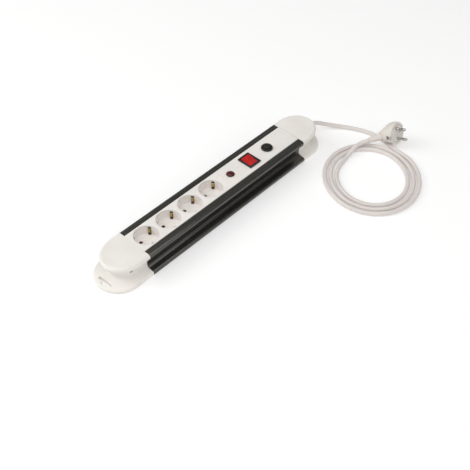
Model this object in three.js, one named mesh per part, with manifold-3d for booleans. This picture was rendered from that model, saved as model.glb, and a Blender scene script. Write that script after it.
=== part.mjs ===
// Desk power strip: an aluminium profile with a white socket face, two moulded end caps,
// four earthed sockets, indicator lamp, rocker switch, reset breaker and a mains cord with plug.
// Millimetres. X runs along the strip towards the cord, Z is up and the strip stands on Z = 0.
import * as THREE from 'three';
import * as BufferGeometryUtils from 'three/addons/utils/BufferGeometryUtils.js';
import { ConvexGeometry } from 'three/addons/geometries/ConvexGeometry.js';
import Module from 'manifold-3d';

const wasm = await Module();
wasm.setup();

// ---------- driving dimensions ----------
const GAP = 0.3; // clearance between neighbouring pieces

const PROFILE_LENGTH = 351;
const PROFILE_HEIGHT = 40;
const RAIL_WIDTH = 12.3; // width of each top rail beside the face
const WEB_SETBACK = 9.2; // how far the narrow webs lie inside the rails' outer edges
const FLANGE_REACH = 13.4; // how far the foot flanges stand out from the webs
const WEB_WALL = 1.8;
const FLOOR_WALL = 2;
const RAIL_LIP = 7; // depth of the rail lips that the face clips under

const FACE_PROUD = 0.6; // how far the face stands above the rails
const FACE_WALL = 2.5;
const FACE_BOW = 1.2; // bow of the two ends of the face in plan
const SKIRT_WALL = 1.25;
const SKIRT_DEPTH = 9.5;
const BEAD = 0.9; // snap bead on the skirts

const SOCKET_COUNT = 4;
const SOCKET_RADIUS = 19.8;
const SOCKET_DEPTH = 17.5;
const SOCKET_TURN = THREE.MathUtils.degToRad(35); // earth clip axis from the strip's length
const WELL_WALL = 0.9;
const WELL_CLEARANCE = 0.25; // between a well and the skirts beside it
const WELL_FLOOR = 1.8;
const PIN_SPACING = 19;
const PIN_HOLE_RADIUS = 2.9;
const CLIP_WIDTH = 4;
const CLIP_THICKNESS = 0.8;
const CLIP_ROOM = 0.6; // beside the clip in its slot

const LAMP_RADIUS = 7;
const LAMP_BARREL_RADIUS = 5.6;
const SWITCH_BEZEL_X = 25.2;
const SWITCH_BEZEL_Y = 29.8;
const SWITCH_BODY_X = 21.8;
const SWITCH_BODY_Y = 27;
const SWITCH_DEPTH = 24;
const BEZEL_HEIGHT = 2;
const ROCKER_X = 18.4;
const ROCKER_Y = 21.2;
const ROCKER_TILT = THREE.MathUtils.degToRad(8);
const BREAKER_COLLAR_RADIUS = 9.9;
const BREAKER_NECK_RADIUS = 7.8;
const BREAKER_BUTTON_RADIUS = 5.7;
const BREAKER_CASE = { x: 14, y: 26, z: 20 };

// Shares of the face left free by the fittings: before the first well, between wells, between the
// last well, the lamp, the switch and the breaker, and after the breaker.
const FREE_SHARES = { first: 3.3, socket: 4.8, lamp: 17.4, switch: 25.6, breaker: 21, end: 44.7 };

const CAP_WALL = 3;
const NECK_STRAIGHT = 24; // run beside the profile before the neck and the tongue start to round off
const TONGUE_STRAIGHT = 16;
const NEAR_CAP = { tongue: 59.5, neck: 48, flange: 73 };
const CORD_CAP = { tongue: 57, neck: 44, flange: 62.5 };
const SPIGOT_LENGTH = 12;
const SPIGOT_WALL = 2;
const KEYHOLE_SLOT = { length: 27, width: 4.6 };
const KEYHOLE_RADIUS = 4.6;
const KEYHOLE_FROM_TIP = 10.5;
const SIDE_SCREW_FROM_PROFILE = 30;
const SIDE_SCREW_DROP = 17.5; // below the profile's top

const CORD_RADIUS = 3.75;
const CORD_HEIGHT = 21.5; // height of the cord where it leaves the cap
const CORD_REST = CORD_RADIUS + 0.15; // height of the cord's middle where it lies
const GLAND_LENGTH = 22;
const COIL = { x: 41, y: -148.3, radius: 86.9, shrink: 1.546, oval: 4, phase: 20.7 };
const COIL_START = 10.7; // degrees of turn at the first and last coil point
const COIL_END = 968;
const COIL_POINTS_PER_TURN = 14;

const PLUG_RADIUS = 19.5;
const PLUG_PIN_RADIUS = 2.4;
const PLUG_PIN_LENGTH = 19;
const PLUG_TILT = THREE.MathUtils.degToRad(20);
const PLUG_EXIT_ANGLE = THREE.MathUtils.degToRad(32);
const PLUG_DEPTH = 11; // depth of the cord axis behind the plug's face
const PLUG_RELIEF = { start: 21, end: 44, wide: CORD_RADIUS + 3.05, narrow: CORD_RADIUS + 0.9 };

// ---------- derived places ----------
const WELL_OUTER = SOCKET_RADIUS + WELL_WALL;
const FACE_HALF = WELL_OUTER + WELL_CLEARANCE + SKIRT_WALL + GAP; // half width of the slot for the face
const RAIL_HALF = FACE_HALF + RAIL_WIDTH;
const WEB_HALF = RAIL_HALF - WEB_SETBACK;
const BASE_HALF = WEB_HALF + FLANGE_REACH;
const FITTINGS = 2 * (SOCKET_COUNT * WELL_OUTER + LAMP_RADIUS + BREAKER_COLLAR_RADIUS) + SWITCH_BEZEL_X;
const SHARE_SUM = Object.values(FREE_SHARES).reduce((sum, share) => sum + share)
  + (SOCKET_COUNT - 2) * FREE_SHARES.socket;
const bridge = (name) => (FREE_SHARES[name] * (PROFILE_LENGTH - FITTINGS)) / SHARE_SUM;
const SOCKET_PITCH = 2 * WELL_OUTER + bridge('socket');
const FIRST_SOCKET = WELL_OUTER + bridge('first');
const LAST_SOCKET = FIRST_SOCKET + (SOCKET_COUNT - 1) * SOCKET_PITCH;
const LAMP_AT = LAST_SOCKET + WELL_OUTER + bridge('lamp') + LAMP_RADIUS;
const SWITCH_AT = LAMP_AT + LAMP_RADIUS + bridge('switch') + SWITCH_BEZEL_X / 2;
const BREAKER_AT = SWITCH_AT + SWITCH_BEZEL_X / 2 + bridge('breaker') + BREAKER_COLLAR_RADIUS;
const STRIP_LENGTH = NEAR_CAP.flange + PROFILE_LENGTH + CORD_CAP.flange + 2 * GAP;
const PROFILE_START = -STRIP_LENGTH / 2 + NEAR_CAP.flange + GAP;
const PROFILE_END = PROFILE_START + PROFILE_LENGTH;
const FACE_TOP = PROFILE_HEIGHT + FACE_PROUD;
const FACE_UNDER = FACE_TOP - FACE_WALL;
const SKIRT_INNER = FACE_HALF - GAP - SKIRT_WALL;
const WELL_TOP = FACE_UNDER - GAP;
const WELL_FLOOR_TOP = FACE_TOP - SOCKET_DEPTH;
const WELL_BOTTOM = WELL_FLOOR_TOP - WELL_FLOOR;
const INNER_HALF = WEB_HALF - WEB_WALL;
const PIN_AXIS = SOCKET_TURN + Math.PI / 2;
const PIN_OFFSET = new THREE.Vector2(PIN_SPACING / 2, 0).rotateAround(new THREE.Vector2(), PIN_AXIS);
const SIDE_SCREW_HEIGHT = PROFILE_HEIGHT - SIDE_SCREW_DROP;

// ---------- finishes ----------
const finish = (color, roughness, metalness = 0) => (
  new THREE.MeshStandardMaterial({ color, roughness, metalness }));
const whitePlastic = () => finish(0xe6e4df, 0.42);
const socketWhite = () => finish(0xe9e6e2, 0.35);
const blackAluminium = () => finish(0x24241f, 0.34, 0.85);
const blackPlastic = () => finish(0x1c1a18, 0.4);
const rockerRed = () => finish(0xc32a26, 0.22);
const lampRed = () => finish(0x6d2424, 0.18);
const brass = () => finish(0xb69a5a, 0.3, 1);
const steel = () => finish(0xa8a8a6, 0.35, 1);
const cordWhite = () => finish(0xe4dedb, 0.5);
const plugBeige = () => finish(0xd9d4cc, 0.45);
const insulator = () => finish(0xbfb9ad, 0.6);
const boardGreen = () => finish(0x2f5a3a, 0.55);
const varistorBlue = () => finish(0x27406e, 0.5);

// ---------- solids ----------
const strip = new THREE.Group();

// A closed three.js geometry as a manifold-3d solid.
function solid(geometry) {
  const plain = geometry.clone();
  plain.deleteAttribute('normal');
  plain.deleteAttribute('uv');
  const merged = BufferGeometryUtils.mergeVertices(plain, 1e-4);
  return new wasm.Manifold(new wasm.Mesh({
    numProp: 3,
    vertProperties: new Float32Array(merged.attributes.position.array),
    triVerts: new Uint32Array(merged.index.array),
  }));
}

// A manifold-3d solid back as a three.js geometry.
function geometryOf(body) {
  const { vertProperties, triVerts } = body.getMesh();
  const geometry = new THREE.BufferGeometry();
  geometry.setAttribute('position', new THREE.BufferAttribute(vertProperties, 3));
  geometry.setIndex(new THREE.BufferAttribute(triVerts, 1));
  geometry.computeVertexNormals();
  return geometry;
}

function join(...geometries) {
  return geometryOf(geometries.map(solid).reduce((sum, next) => sum.add(next)));
}

function cut(geometry, ...tools) {
  return geometryOf(tools.map(solid).reduce((body, tool) => body.subtract(tool), solid(geometry)));
}

function common(first, second) {
  return geometryOf(solid(first).intersect(solid(second)));
}

// Adds a named sub-part to a group.
function place(name, geometry, material, parent = strip) {
  const mesh = new THREE.Mesh(geometry, material);
  mesh.name = name;
  parent.add(mesh);
  return mesh;
}

// ---------- basic shapes ----------
// A block between two corners.
function block(x0, x1, y0, y1, z0, z1) {
  const geometry = new THREE.BoxGeometry(x1 - x0, y1 - y0, z1 - z0);
  return geometry.translate((x0 + x1) / 2, (y0 + y1) / 2, (z0 + z1) / 2);
}

// A block of a size, centred on x and y, between two heights.
function post(x, y, sizeX, sizeY, z0, z1) {
  return block(x - sizeX / 2, x + sizeX / 2, y - sizeY / 2, y + sizeY / 2, z0, z1);
}

// An upright cylinder between two heights.
function disc(x, y, radius, z0, z1, segments = 32) {
  const geometry = new THREE.CylinderGeometry(radius, radius, z1 - z0, segments);
  return geometry.rotateX(Math.PI / 2).translate(x, y, (z0 + z1) / 2);
}

// A body of revolution about Z from [radius, height] pairs that start and end on the axis or close.
function turned(profile, segments = 32) {
  const points = profile.map(([r, z]) => new THREE.Vector2(r, z));
  return new THREE.LatheGeometry(points, segments).rotateX(Math.PI / 2);
}

// A flat outline in X and Y, raised between two heights.
function raised(shape, z0, z1, curveSegments = 12) {
  const geometry = new THREE.ExtrudeGeometry(shape, { depth: z1 - z0, bevelEnabled: false, curveSegments });
  return geometry.translate(0, 0, z0);
}

// An outline drawn in Y and Z, drawn out along X.
function drawnAlongX(shape, x0, x1) {
  const depth = x1 - x0;
  const geometry = new THREE.ExtrudeGeometry(shape, { depth, bevelEnabled: false, curveSegments: 8 });
  const turn = new THREE.Matrix4().makeBasis(
    new THREE.Vector3(0, 1, 0), new THREE.Vector3(0, 0, 1), new THREE.Vector3(1, 0, 0));
  return geometry.applyMatrix4(turn).translate(x0, 0, 0);
}

// A closed outline from one side's points and their mirror image.
function mirrored(half) {
  const left = half.filter(([y]) => y > 0).map(([y, z]) => [-y, z]).reverse();
  return new THREE.Shape([...half, ...left].map(([y, z]) => new THREE.Vector2(y, z)));
}

// The outline of a bent strip of even thickness along a line of points.
function bentStrip(points, thickness) {
  const line = points.map(([u, v]) => new THREE.Vector2(u, v));
  const side = (sign) => line.map((point, i) => {
    const before = line[Math.max(i - 1, 0)];
    const after = line[Math.min(i + 1, line.length - 1)];
    const along = after.clone().sub(before).normalize();
    return point.clone().add(new THREE.Vector2(-along.y, along.x).multiplyScalar(sign * thickness / 2));
  });
  return new THREE.Shape([...side(-1), ...side(1).reverse()]);
}

// A skin through rings of equal point count, closed at both ends.
function loft(rings) {
  const count = rings[0].length;
  const positions = rings.flat().flatMap((p) => [p.x, p.y, p.z]);
  const index = [];
  for (let r = 0; r + 1 < rings.length; r += 1) {
    for (let i = 0; i < count; i += 1) {
      const a = r * count + i;
      const b = r * count + ((i + 1) % count);
      index.push(a, b, b + count, a, b + count, a + count);
    }
  }
  const last = (rings.length - 1) * count;
  for (let i = 1; i + 1 < count; i += 1) {
    index.push(0, i + 1, i);
    index.push(last, last + i, last + i + 1);
  }
  const geometry = new THREE.BufferGeometry();
  geometry.setAttribute('position', new THREE.Float32BufferAttribute(positions, 3));
  geometry.setIndex(index);
  geometry.computeVertexNormals();
  return geometry;
}

// A round wire or cord along points; the section has the given number of sides.
function tube(points, radius, steps, sides) {
  const path = new THREE.CatmullRomCurve3(points, false, 'centripetal');
  const section = new THREE.Shape();
  for (let i = 0; i < sides; i += 1) {
    const angle = (2 * Math.PI * i) / sides;
    const [u, v] = [radius * Math.cos(angle), radius * Math.sin(angle)];
    if (i === 0) section.moveTo(u, v);
    else section.lineTo(u, v);
  }
  return new THREE.ExtrudeGeometry(section, { steps, bevelEnabled: false, extrudePath: path });
}

const vectors = (rows) => rows.map(([x, y, z]) => new THREE.Vector3(x, y, z));

// ---------- aluminium profile ----------
// Outer half section from the foot up to the slot: half width at a height.
const SECTION = [
  [BASE_HALF - 1.5, 0], [BASE_HALF, 1.5], [BASE_HALF, 5], [BASE_HALF - 1.6, 6.7], [BASE_HALF - 6, 7.3],
  [BASE_HALF - 10, 8], [WEB_HALF + 0.9, 9.5], [WEB_HALF, 12], [WEB_HALF, PROFILE_HEIGHT - 21.4],
  [WEB_HALF + 0.7, PROFILE_HEIGHT - 17.5], [WEB_HALF + 2.9, PROFILE_HEIGHT - 13.7],
  [RAIL_HALF - 2.4, PROFILE_HEIGHT - 9.6], [RAIL_HALF - 0.8, PROFILE_HEIGHT - 7],
  [RAIL_HALF, PROFILE_HEIGHT - 4], [RAIL_HALF - 0.6, PROFILE_HEIGHT - 1.4],
  [RAIL_HALF - 2.6, PROFILE_HEIGHT],
];

function aluminiumProfile() {
  const lipFoot = PROFILE_HEIGHT - RAIL_LIP;
  const shape = mirrored([
    ...SECTION, [FACE_HALF, PROFILE_HEIGHT], [FACE_HALF, lipFoot], [INNER_HALF, lipFoot],
    [INNER_HALF, FLOOR_WALL],
  ]);
  const slotWall = FACE_HALF + 1.7;
  const railChamber = [
    [slotWall, PROFILE_HEIGHT - 1.8], [RAIL_HALF - 3.2, PROFILE_HEIGHT - 1.8],
    [RAIL_HALF - 1.8, PROFILE_HEIGHT - 3.8], [RAIL_HALF - 2.6, PROFILE_HEIGHT - 6.5],
    [RAIL_HALF - 4, PROFILE_HEIGHT - 8.8], [WEB_HALF + 2.2, PROFILE_HEIGHT - 11.7],
    [WEB_HALF - 0.1, PROFILE_HEIGHT - 14.2], [WEB_HALF - 0.1, lipFoot - 1.4], [slotWall, lipFoot + 0.4],
  ];
  const footChamber = [
    [WEB_HALF + 2, FLOOR_WALL], [BASE_HALF - 2.4, FLOOR_WALL], [BASE_HALF - 2.2, 4.6],
    [BASE_HALF - 7, 5.4], [WEB_HALF + 2.4, 6.2], [WEB_HALF + 1.6, 6.4],
  ];
  for (const sign of [1, -1]) {
    for (const chamber of [railChamber, footChamber]) {
      shape.holes.push(new THREE.Path(chamber.map(([y, z]) => new THREE.Vector2(sign * y, z))));
    }
  }
  return drawnAlongX(shape, PROFILE_START, PROFILE_END);
}

place('aluminium_profile', aluminiumProfile(), blackAluminium());

// ---------- face plate ----------
// Plan of the face with bowed ends, for a half width and a margin past the profile's ends.
function facePlan(half, margin) {
  const start = PROFILE_START - margin;
  const end = PROFILE_END + margin;
  const plan = new THREE.Shape();
  plan.moveTo(start, -half);
  plan.lineTo(end, -half);
  plan.quadraticCurveTo(end + 2 * FACE_BOW, 0, end, half);
  plan.lineTo(start, half);
  plan.quadraticCurveTo(start - 2 * FACE_BOW, 0, start, -half);
  return plan;
}

const socketCentres = Array.from(
  { length: SOCKET_COUNT }, (_, i) => PROFILE_START + FIRST_SOCKET + i * SOCKET_PITCH);
const lampX = PROFILE_START + LAMP_AT;
const switchX = PROFILE_START + SWITCH_AT;
const breakerX = PROFILE_START + BREAKER_AT;

function facePlate() {
  const outer = FACE_HALF - GAP;
  const foot = PROFILE_HEIGHT - SKIRT_DEPTH;
  const beadTop = PROFILE_HEIGHT - RAIL_LIP - GAP;
  const section = mirrored([
    [SKIRT_INNER, FACE_UNDER], [SKIRT_INNER, foot], [outer, foot], [outer + BEAD, foot + 1.2],
    [outer + BEAD, beadTop], [outer, beadTop], [outer, FACE_TOP - 0.6], [outer - 0.6, FACE_TOP],
  ]);
  const reach = 2 * FACE_BOW;
  const bar = drawnAlongX(section, PROFILE_START - reach, PROFILE_END + reach);
  const plan = raised(facePlan(outer + BEAD, 0), foot - 1, FACE_TOP + 1, 8);
  const below = FACE_UNDER - 1;
  const above = FACE_TOP + 1;
  const openings = socketCentres.map((x) => disc(x, 0, SOCKET_RADIUS, below, above, 36));
  openings.push(disc(lampX, 0, LAMP_BARREL_RADIUS + GAP, below, above, 24));
  openings.push(disc(breakerX, 0, BREAKER_NECK_RADIUS + GAP, below, above, 24));
  openings.push(post(switchX, 0, SWITCH_BODY_X + 2 * GAP, SWITCH_BODY_Y + 2 * GAP, below, above));
  const skirtEnds = [
    block(PROFILE_START - reach, PROFILE_START, -RAIL_HALF, RAIL_HALF, foot - 1, FACE_UNDER),
    block(PROFILE_END, PROFILE_END + reach, -RAIL_HALF, RAIL_HALF, foot - 1, FACE_UNDER),
  ];
  return cut(common(bar, plan), ...skirtEnds, ...openings);
}

place('face_plate', facePlate(), whitePlastic());

// ---------- sockets ----------
function socketWell() {
  const cup = turned([
    [0, WELL_BOTTOM], [WELL_OUTER - 1, WELL_BOTTOM], [WELL_OUTER, WELL_BOTTOM + 1], [WELL_OUTER, WELL_TOP],
    [SOCKET_RADIUS, WELL_TOP], [SOCKET_RADIUS, WELL_FLOOR_TOP], [0, WELL_FLOOR_TOP],
  ], 32);
  const keys = [-1, 1].map((side) => {
    const x = side * (SOCKET_RADIUS - WELL_WALL);
    return post(x, 0, 3.2, 5, WELL_BOTTOM + 1.2, WELL_TOP - 1).rotateZ(PIN_AXIS);
  });
  const below = WELL_BOTTOM - 1;
  const pinHoles = [-1, 1].map((side) => (
    disc(side * PIN_OFFSET.x, side * PIN_OFFSET.y, PIN_HOLE_RADIUS, below, WELL_FLOOR_TOP + 1, 14)));
  const clipSlots = [-1, 1].map((side) => {
    const x = side * (SOCKET_RADIUS - 0.4);
    return post(x, 0, 4.6, CLIP_WIDTH + 2 * CLIP_ROOM, below, WELL_TOP - 0.5).rotateZ(SOCKET_TURN);
  });
  const outside = turned([[0, 0], [WELL_OUTER, 0], [WELL_OUTER, FACE_TOP], [0, FACE_TOP]], 32);
  return cut(common(join(cup, ...keys), outside), ...pinHoles, ...clipSlots);
}

// A sprung strip that runs under the well and rises in its two slots; it bows inwards near the mouth.
const CLIP_DROP = 2.2; // middle of the strip below the well

function earthClip() {
  const rise = SOCKET_RADIUS - 0.2;
  const arm = [
    [rise - 1, WELL_BOTTOM - CLIP_DROP], [rise, WELL_BOTTOM - CLIP_DROP + 1], [rise, FACE_TOP - 15.2],
    [SOCKET_RADIUS - 2.9, FACE_TOP - 10.4], [SOCKET_RADIUS - 2.4, FACE_TOP - 8.4],
    [SOCKET_RADIUS - 0.6, FACE_TOP - 6.2],
  ];
  const line = [...arm.map(([r, z]) => [-r, z]).reverse(), ...arm];
  const shape = bentStrip(line, CLIP_THICKNESS);
  const geometry = new THREE.ExtrudeGeometry(shape, { depth: CLIP_WIDTH, bevelEnabled: false });
  return geometry.translate(0, 0, -CLIP_WIDTH / 2).rotateX(Math.PI / 2).rotateZ(SOCKET_TURN);
}

const wellGeometry = socketWell();
const clipGeometry = earthClip();
socketCentres.forEach((x, i) => {
  place(`socket_well_${i + 1}`, wellGeometry, socketWhite()).position.x = x;
  place(`earth_clip_${i + 1}`, clipGeometry, brass()).position.x = x;
});

// ---------- busbars and carrier ----------
const SLEEVE_RADIUS = 3.6;
const SLEEVE_BORE = PLUG_PIN_RADIUS + 0.2;
const BAR_HEIGHT = 5;
const BAR_THICKNESS = 1;
const BAR_END = socketCentres[SOCKET_COUNT - 1] + WELL_OUTER + 5.3;
const EARTH_BAR_TOP = WELL_BOTTOM - CLIP_DROP - CLIP_THICKNESS / 2 - GAP;
const EARTH_BAR_FOOT = EARTH_BAR_TOP - BAR_THICKNESS;
const BAR_FOOT = EARTH_BAR_FOOT - 3.4 - BAR_HEIGHT;

// A live bar with a sleeve below one pin hole of each socket.
function liveBar(side) {
  const offset = PIN_OFFSET.clone().multiplyScalar(side);
  const outward = Math.sign(offset.y);
  const near = offset.y + outward * (SLEEVE_RADIUS - 0.8);
  const far = near + outward * BAR_THICKNESS;
  const first = socketCentres[0] + offset.x;
  const [low, high] = [Math.min(near, far), Math.max(near, far)];
  const bar = block(first, BAR_END, low, high, BAR_FOOT, BAR_FOOT + BAR_HEIGHT);
  const top = WELL_BOTTOM - GAP;
  const sleeve = (x, radius, margin, sides) => (
    disc(x + offset.x, offset.y, radius, BAR_FOOT - margin, top + margin, sides));
  const sleeves = socketCentres.map((x) => sleeve(x, SLEEVE_RADIUS, 0, 12));
  const bores = socketCentres.map((x) => sleeve(x, SLEEVE_BORE, 1, 10));
  return cut(join(bar, ...sleeves), ...bores);
}

const earthBar = block(socketCentres[0] - 8, BAR_END, -2.5, 2.5, EARTH_BAR_FOOT, EARTH_BAR_TOP);
place('line_busbar', liveBar(1), brass());
place('neutral_busbar', liveBar(-1), brass());
place('earth_busbar', earthBar, brass());

function contactCarrier() {
  const side = INNER_HALF - GAP;
  const floor = FLOOR_WALL + GAP;
  const ridge = PIN_OFFSET.y + SLEEVE_RADIUS - 0.3;
  const section = mirrored([
    [side, floor], [side, 15], [side - 1.3, 15], [side - 1.3, floor + 1.6],
    [ridge + 0.9, floor + 1.6], [ridge + 0.9, BAR_FOOT - GAP], [ridge - 0.9, BAR_FOOT - GAP],
    [ridge - 0.9, floor + 1.6], [1.3, floor + 1.6], [1.3, EARTH_BAR_FOOT - GAP],
  ]);
  return drawnAlongX(section, PROFILE_START + SPIGOT_LENGTH + 1, BAR_END - 4);
}

place('contact_carrier', contactCarrier(), insulator());

// ---------- rocker switch ----------
const BEZEL_TOP = FACE_TOP + GAP + BEZEL_HEIGHT;
const SWITCH_FOOT = FACE_TOP - SWITCH_DEPTH;
const ROCKER_PIVOT = BEZEL_TOP - 4.2;
const ROCKER_ROOM = { x: ROCKER_X + 2 * GAP, y: ROCKER_Y + 2 };
const TRUNNION_RADIUS = 1.3;

function switchHousing() {
  const bezel = post(0, 0, SWITCH_BEZEL_X, SWITCH_BEZEL_Y, FACE_TOP + GAP, BEZEL_TOP);
  const body = post(0, 0, SWITCH_BODY_X, SWITCH_BODY_Y, SWITCH_FOOT, BEZEL_TOP - 0.5);
  const room = post(0, 0, ROCKER_ROOM.x, ROCKER_ROOM.y, SWITCH_FOOT + 2, BEZEL_TOP + 1);
  const bore = TRUNNION_RADIUS + GAP;
  const bearing = new THREE.CylinderGeometry(bore, bore, ROCKER_ROOM.x + 1.6, 16);
  bearing.rotateZ(Math.PI / 2).translate(0, 0, ROCKER_PIVOT);
  return cut(join(bezel, body), room, bearing);
}

// The rocker about its own pivot line, drawn level; its two top faces meet in a shallow valley.
function rocker() {
  const valley = 3.1;
  const end = valley + (ROCKER_Y / 2) * Math.tan(ROCKER_TILT);
  const section = mirrored([
    [2.5, -9], [5.5, -5], [ROCKER_Y / 2 - 0.6, -2], [ROCKER_Y / 2, -1.2], [ROCKER_Y / 2, end - 0.7],
    [ROCKER_Y / 2 - 0.7, end], [0.6, valley],
  ]);
  const key = drawnAlongX(section, -ROCKER_X / 2, ROCKER_X / 2);
  const trunnions = new THREE.CylinderGeometry(TRUNNION_RADIUS, TRUNNION_RADIUS, ROCKER_X + 1.8, 16);
  return join(key, trunnions.rotateZ(Math.PI / 2));
}

place('switch_housing', switchHousing(), blackPlastic()).position.x = switchX;
const rockerMesh = place('switch_rocker', rocker(), rockerRed());
rockerMesh.position.set(switchX, 0, ROCKER_PIVOT);
rockerMesh.rotation.x = ROCKER_TILT;

const BLADE = { x: 0.8, y: 6.3, length: 7 };
const switchBlades = [[-5, -7], [5, -7], [-5, 7], [5, 7]];
switchBlades.forEach(([x, y], i) => {
  const blade = post(switchX + x, y, BLADE.x, BLADE.y, SWITCH_FOOT - GAP - BLADE.length, SWITCH_FOOT - GAP);
  place(`switch_terminal_${i + 1}`, blade, brass());
});

// ---------- indicator lamp ----------
const LAMP_FOOT = FACE_TOP - 20.6;

function lampLens() {
  const foot = FACE_TOP + GAP;
  return turned([
    [0, foot], [LAMP_RADIUS, foot], [LAMP_RADIUS, foot + 1], [LAMP_RADIUS - 0.7, foot + 1.9],
    [LAMP_RADIUS - 2.6, foot + 2.9], [LAMP_RADIUS - 4.8, foot + 3.4], [0, foot + 3.6],
  ]);
}

function lampBarrel() {
  return turned([
    [0, LAMP_FOOT], [3.4, LAMP_FOOT], [3.4, LAMP_FOOT + 3], [LAMP_BARREL_RADIUS, LAMP_FOOT + 3.5],
    [LAMP_BARREL_RADIUS, FACE_TOP], [0, FACE_TOP],
  ], 24);
}

function hexNut(bore, top, height, acrossCorners) {
  const ring = disc(0, 0, acrossCorners / 2, top - height, top, 6);
  return cut(ring, disc(0, 0, bore, top - height - 1, top + 1, 24));
}

place('lamp_lens', lampLens(), lampRed()).position.x = lampX;
place('lamp_barrel', lampBarrel(), insulator()).position.x = lampX;
const lampNut = hexNut(LAMP_BARREL_RADIUS + GAP, FACE_UNDER - GAP, 3, 17.5);
place('lamp_nut', lampNut, insulator()).position.x = lampX;

// ---------- reset breaker ----------
const CASE_TOP = FACE_UNDER - GAP - 5;
const CASE_FOOT = CASE_TOP - BREAKER_CASE.z;
const NECK_TOP = FACE_TOP + 3;

function breakerBody() {
  const box = post(0, 0, BREAKER_CASE.x, BREAKER_CASE.y, CASE_FOOT, CASE_TOP);
  const neck = disc(0, 0, BREAKER_NECK_RADIUS, CASE_TOP - 1, NECK_TOP, 32);
  const bore = disc(0, 0, BREAKER_BUTTON_RADIUS + GAP, CASE_TOP - 4, NECK_TOP + 1, 32);
  return cut(join(box, neck), bore);
}

function breakerCollar() {
  const foot = FACE_TOP + GAP;
  const bore = BREAKER_NECK_RADIUS + GAP;
  return turned([
    [bore, foot], [BREAKER_COLLAR_RADIUS, foot], [BREAKER_COLLAR_RADIUS, foot + 1.6],
    [BREAKER_COLLAR_RADIUS - 0.7, foot + 2.8], [bore, foot + 2.8], [bore, foot],
  ]);
}

function breakerButton() {
  const foot = CASE_TOP - 1.5;
  return turned([
    [0, foot], [BREAKER_BUTTON_RADIUS, foot], [BREAKER_BUTTON_RADIUS, NECK_TOP + 0.8],
    [BREAKER_BUTTON_RADIUS - 0.9, NECK_TOP + 1.6], [0, NECK_TOP + 2],
  ]);
}

place('breaker_body', breakerBody(), blackPlastic()).position.x = breakerX;
place('breaker_collar', breakerCollar(), blackPlastic()).position.x = breakerX;
const breakerNut = hexNut(BREAKER_NECK_RADIUS + GAP, FACE_UNDER - GAP, 3.4, 23);
place('breaker_nut', breakerNut, steel()).position.x = breakerX;
place('breaker_button', breakerButton(), blackPlastic()).position.x = breakerX;
const BREAKER_BLADE = { y: 7.5, length: 6 };
const breakerBladeFoot = CASE_FOOT - GAP - BREAKER_BLADE.length;
[-1, 1].forEach((side, i) => {
  const y = side * BREAKER_BLADE.y;
  const blade = post(breakerX, y, BLADE.x, BLADE.y, breakerBladeFoot, CASE_FOOT - GAP);
  place(`breaker_terminal_${i + 1}`, blade, brass());
});

// ---------- surge board ----------
const BOARD = {
  from: breakerX + BREAKER_CASE.x / 2 + 7, to: PROFILE_END - 10.6, y: 36, z: 8, thickness: 1.6,
};
const boardAt = (share) => THREE.MathUtils.lerp(BOARD.from, BOARD.to, share);
const VARISTOR_RADIUS = 7;
const boardTop = BOARD.z + BOARD.thickness;
const board = block(BOARD.from, BOARD.to, -BOARD.y / 2, BOARD.y / 2, BOARD.z, boardTop);
place('surge_board', board, boardGreen());
for (let i = 0; i < 3; i += 1) {
  const x = boardAt(0.2 + i * 0.3);
  const body = new THREE.CylinderGeometry(VARISTOR_RADIUS, VARISTOR_RADIUS, 4.6, 20);
  body.rotateZ(Math.PI / 2).translate(x, 8, boardTop + GAP + VARISTOR_RADIUS);
  place(`surge_varistor_${i + 1}`, body, varistorBlue());
}

// ---------- end caps ----------
// Points round one cap at a height: straight beside the profile, then half an ellipse.
function capRing(half, reach, z, straight) {
  const bends = 16;
  const ring = [new THREE.Vector3(0, -half, z)];
  for (let i = 0; i <= bends; i += 1) {
    const angle = -Math.PI / 2 + (Math.PI * i) / bends;
    const x = straight + (reach - straight) * Math.cos(angle);
    ring.push(new THREE.Vector3(x, half * Math.sin(angle), z));
  }
  ring.push(new THREE.Vector3(0, half, z));
  return ring;
}

// The cap's skin follows the profile's section round the end: foot flange, narrow neck and tongue.
function capSkin(cap) {
  const foot = { half: BASE_HALF, reach: cap.flange, straight: cap.flange - BASE_HALF };
  const tongue = { half: RAIL_HALF, reach: cap.tongue, straight: TONGUE_STRAIGHT };
  const rings = SECTION.map(([half, z]) => {
    const wide = z < PROFILE_HEIGHT / 2 ? foot : tongue;
    const share = (half - WEB_HALF) / (wide.half - WEB_HALF);
    const reach = THREE.MathUtils.lerp(cap.neck, wide.reach, share);
    return capRing(half, reach, z, THREE.MathUtils.lerp(NECK_STRAIGHT, wide.straight, share));
  });
  const inset = 4;
  rings.push(capRing(RAIL_HALF - inset, cap.tongue - inset, FACE_TOP, TONGUE_STRAIGHT));
  return loft(rings);
}

// The hollow inside the neck, open towards the profile.
function capPocket(cap) {
  const ring = capRing(WEB_HALF - CAP_WALL, cap.neck - CAP_WALL, 0, NECK_STRAIGHT);
  const outline = ring.map((p) => new THREE.Vector2(p.x === 0 ? -SPIGOT_LENGTH - 1 : p.x, p.y));
  return raised(new THREE.Shape(outline), 4, FACE_UNDER - 2);
}

// The open-topped trough that enters the profile.
function capSpigot() {
  const half = INNER_HALF - GAP;
  const top = WELL_BOTTOM - 3;
  const outer = block(-SPIGOT_LENGTH, 3, -half, half, FLOOR_WALL + GAP, top);
  return cut(outer, block(-SPIGOT_LENGTH - 1, 4, -half + SPIGOT_WALL, half - SPIGOT_WALL, 4, top + 1));
}

const SIDE_BOSS = 10.6; // length of a side screw's boss, which reaches into the neck's wall

// A tapped boss inside the neck behind a side screw.
function sideBoss(side) {
  const middle = side * (WEB_HALF - CAP_WALL + 1 - SIDE_BOSS / 2);
  return post(SIDE_SCREW_FROM_PROFILE, middle, 8, SIDE_BOSS, 3, SIDE_SCREW_HEIGHT + 4);
}

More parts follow.
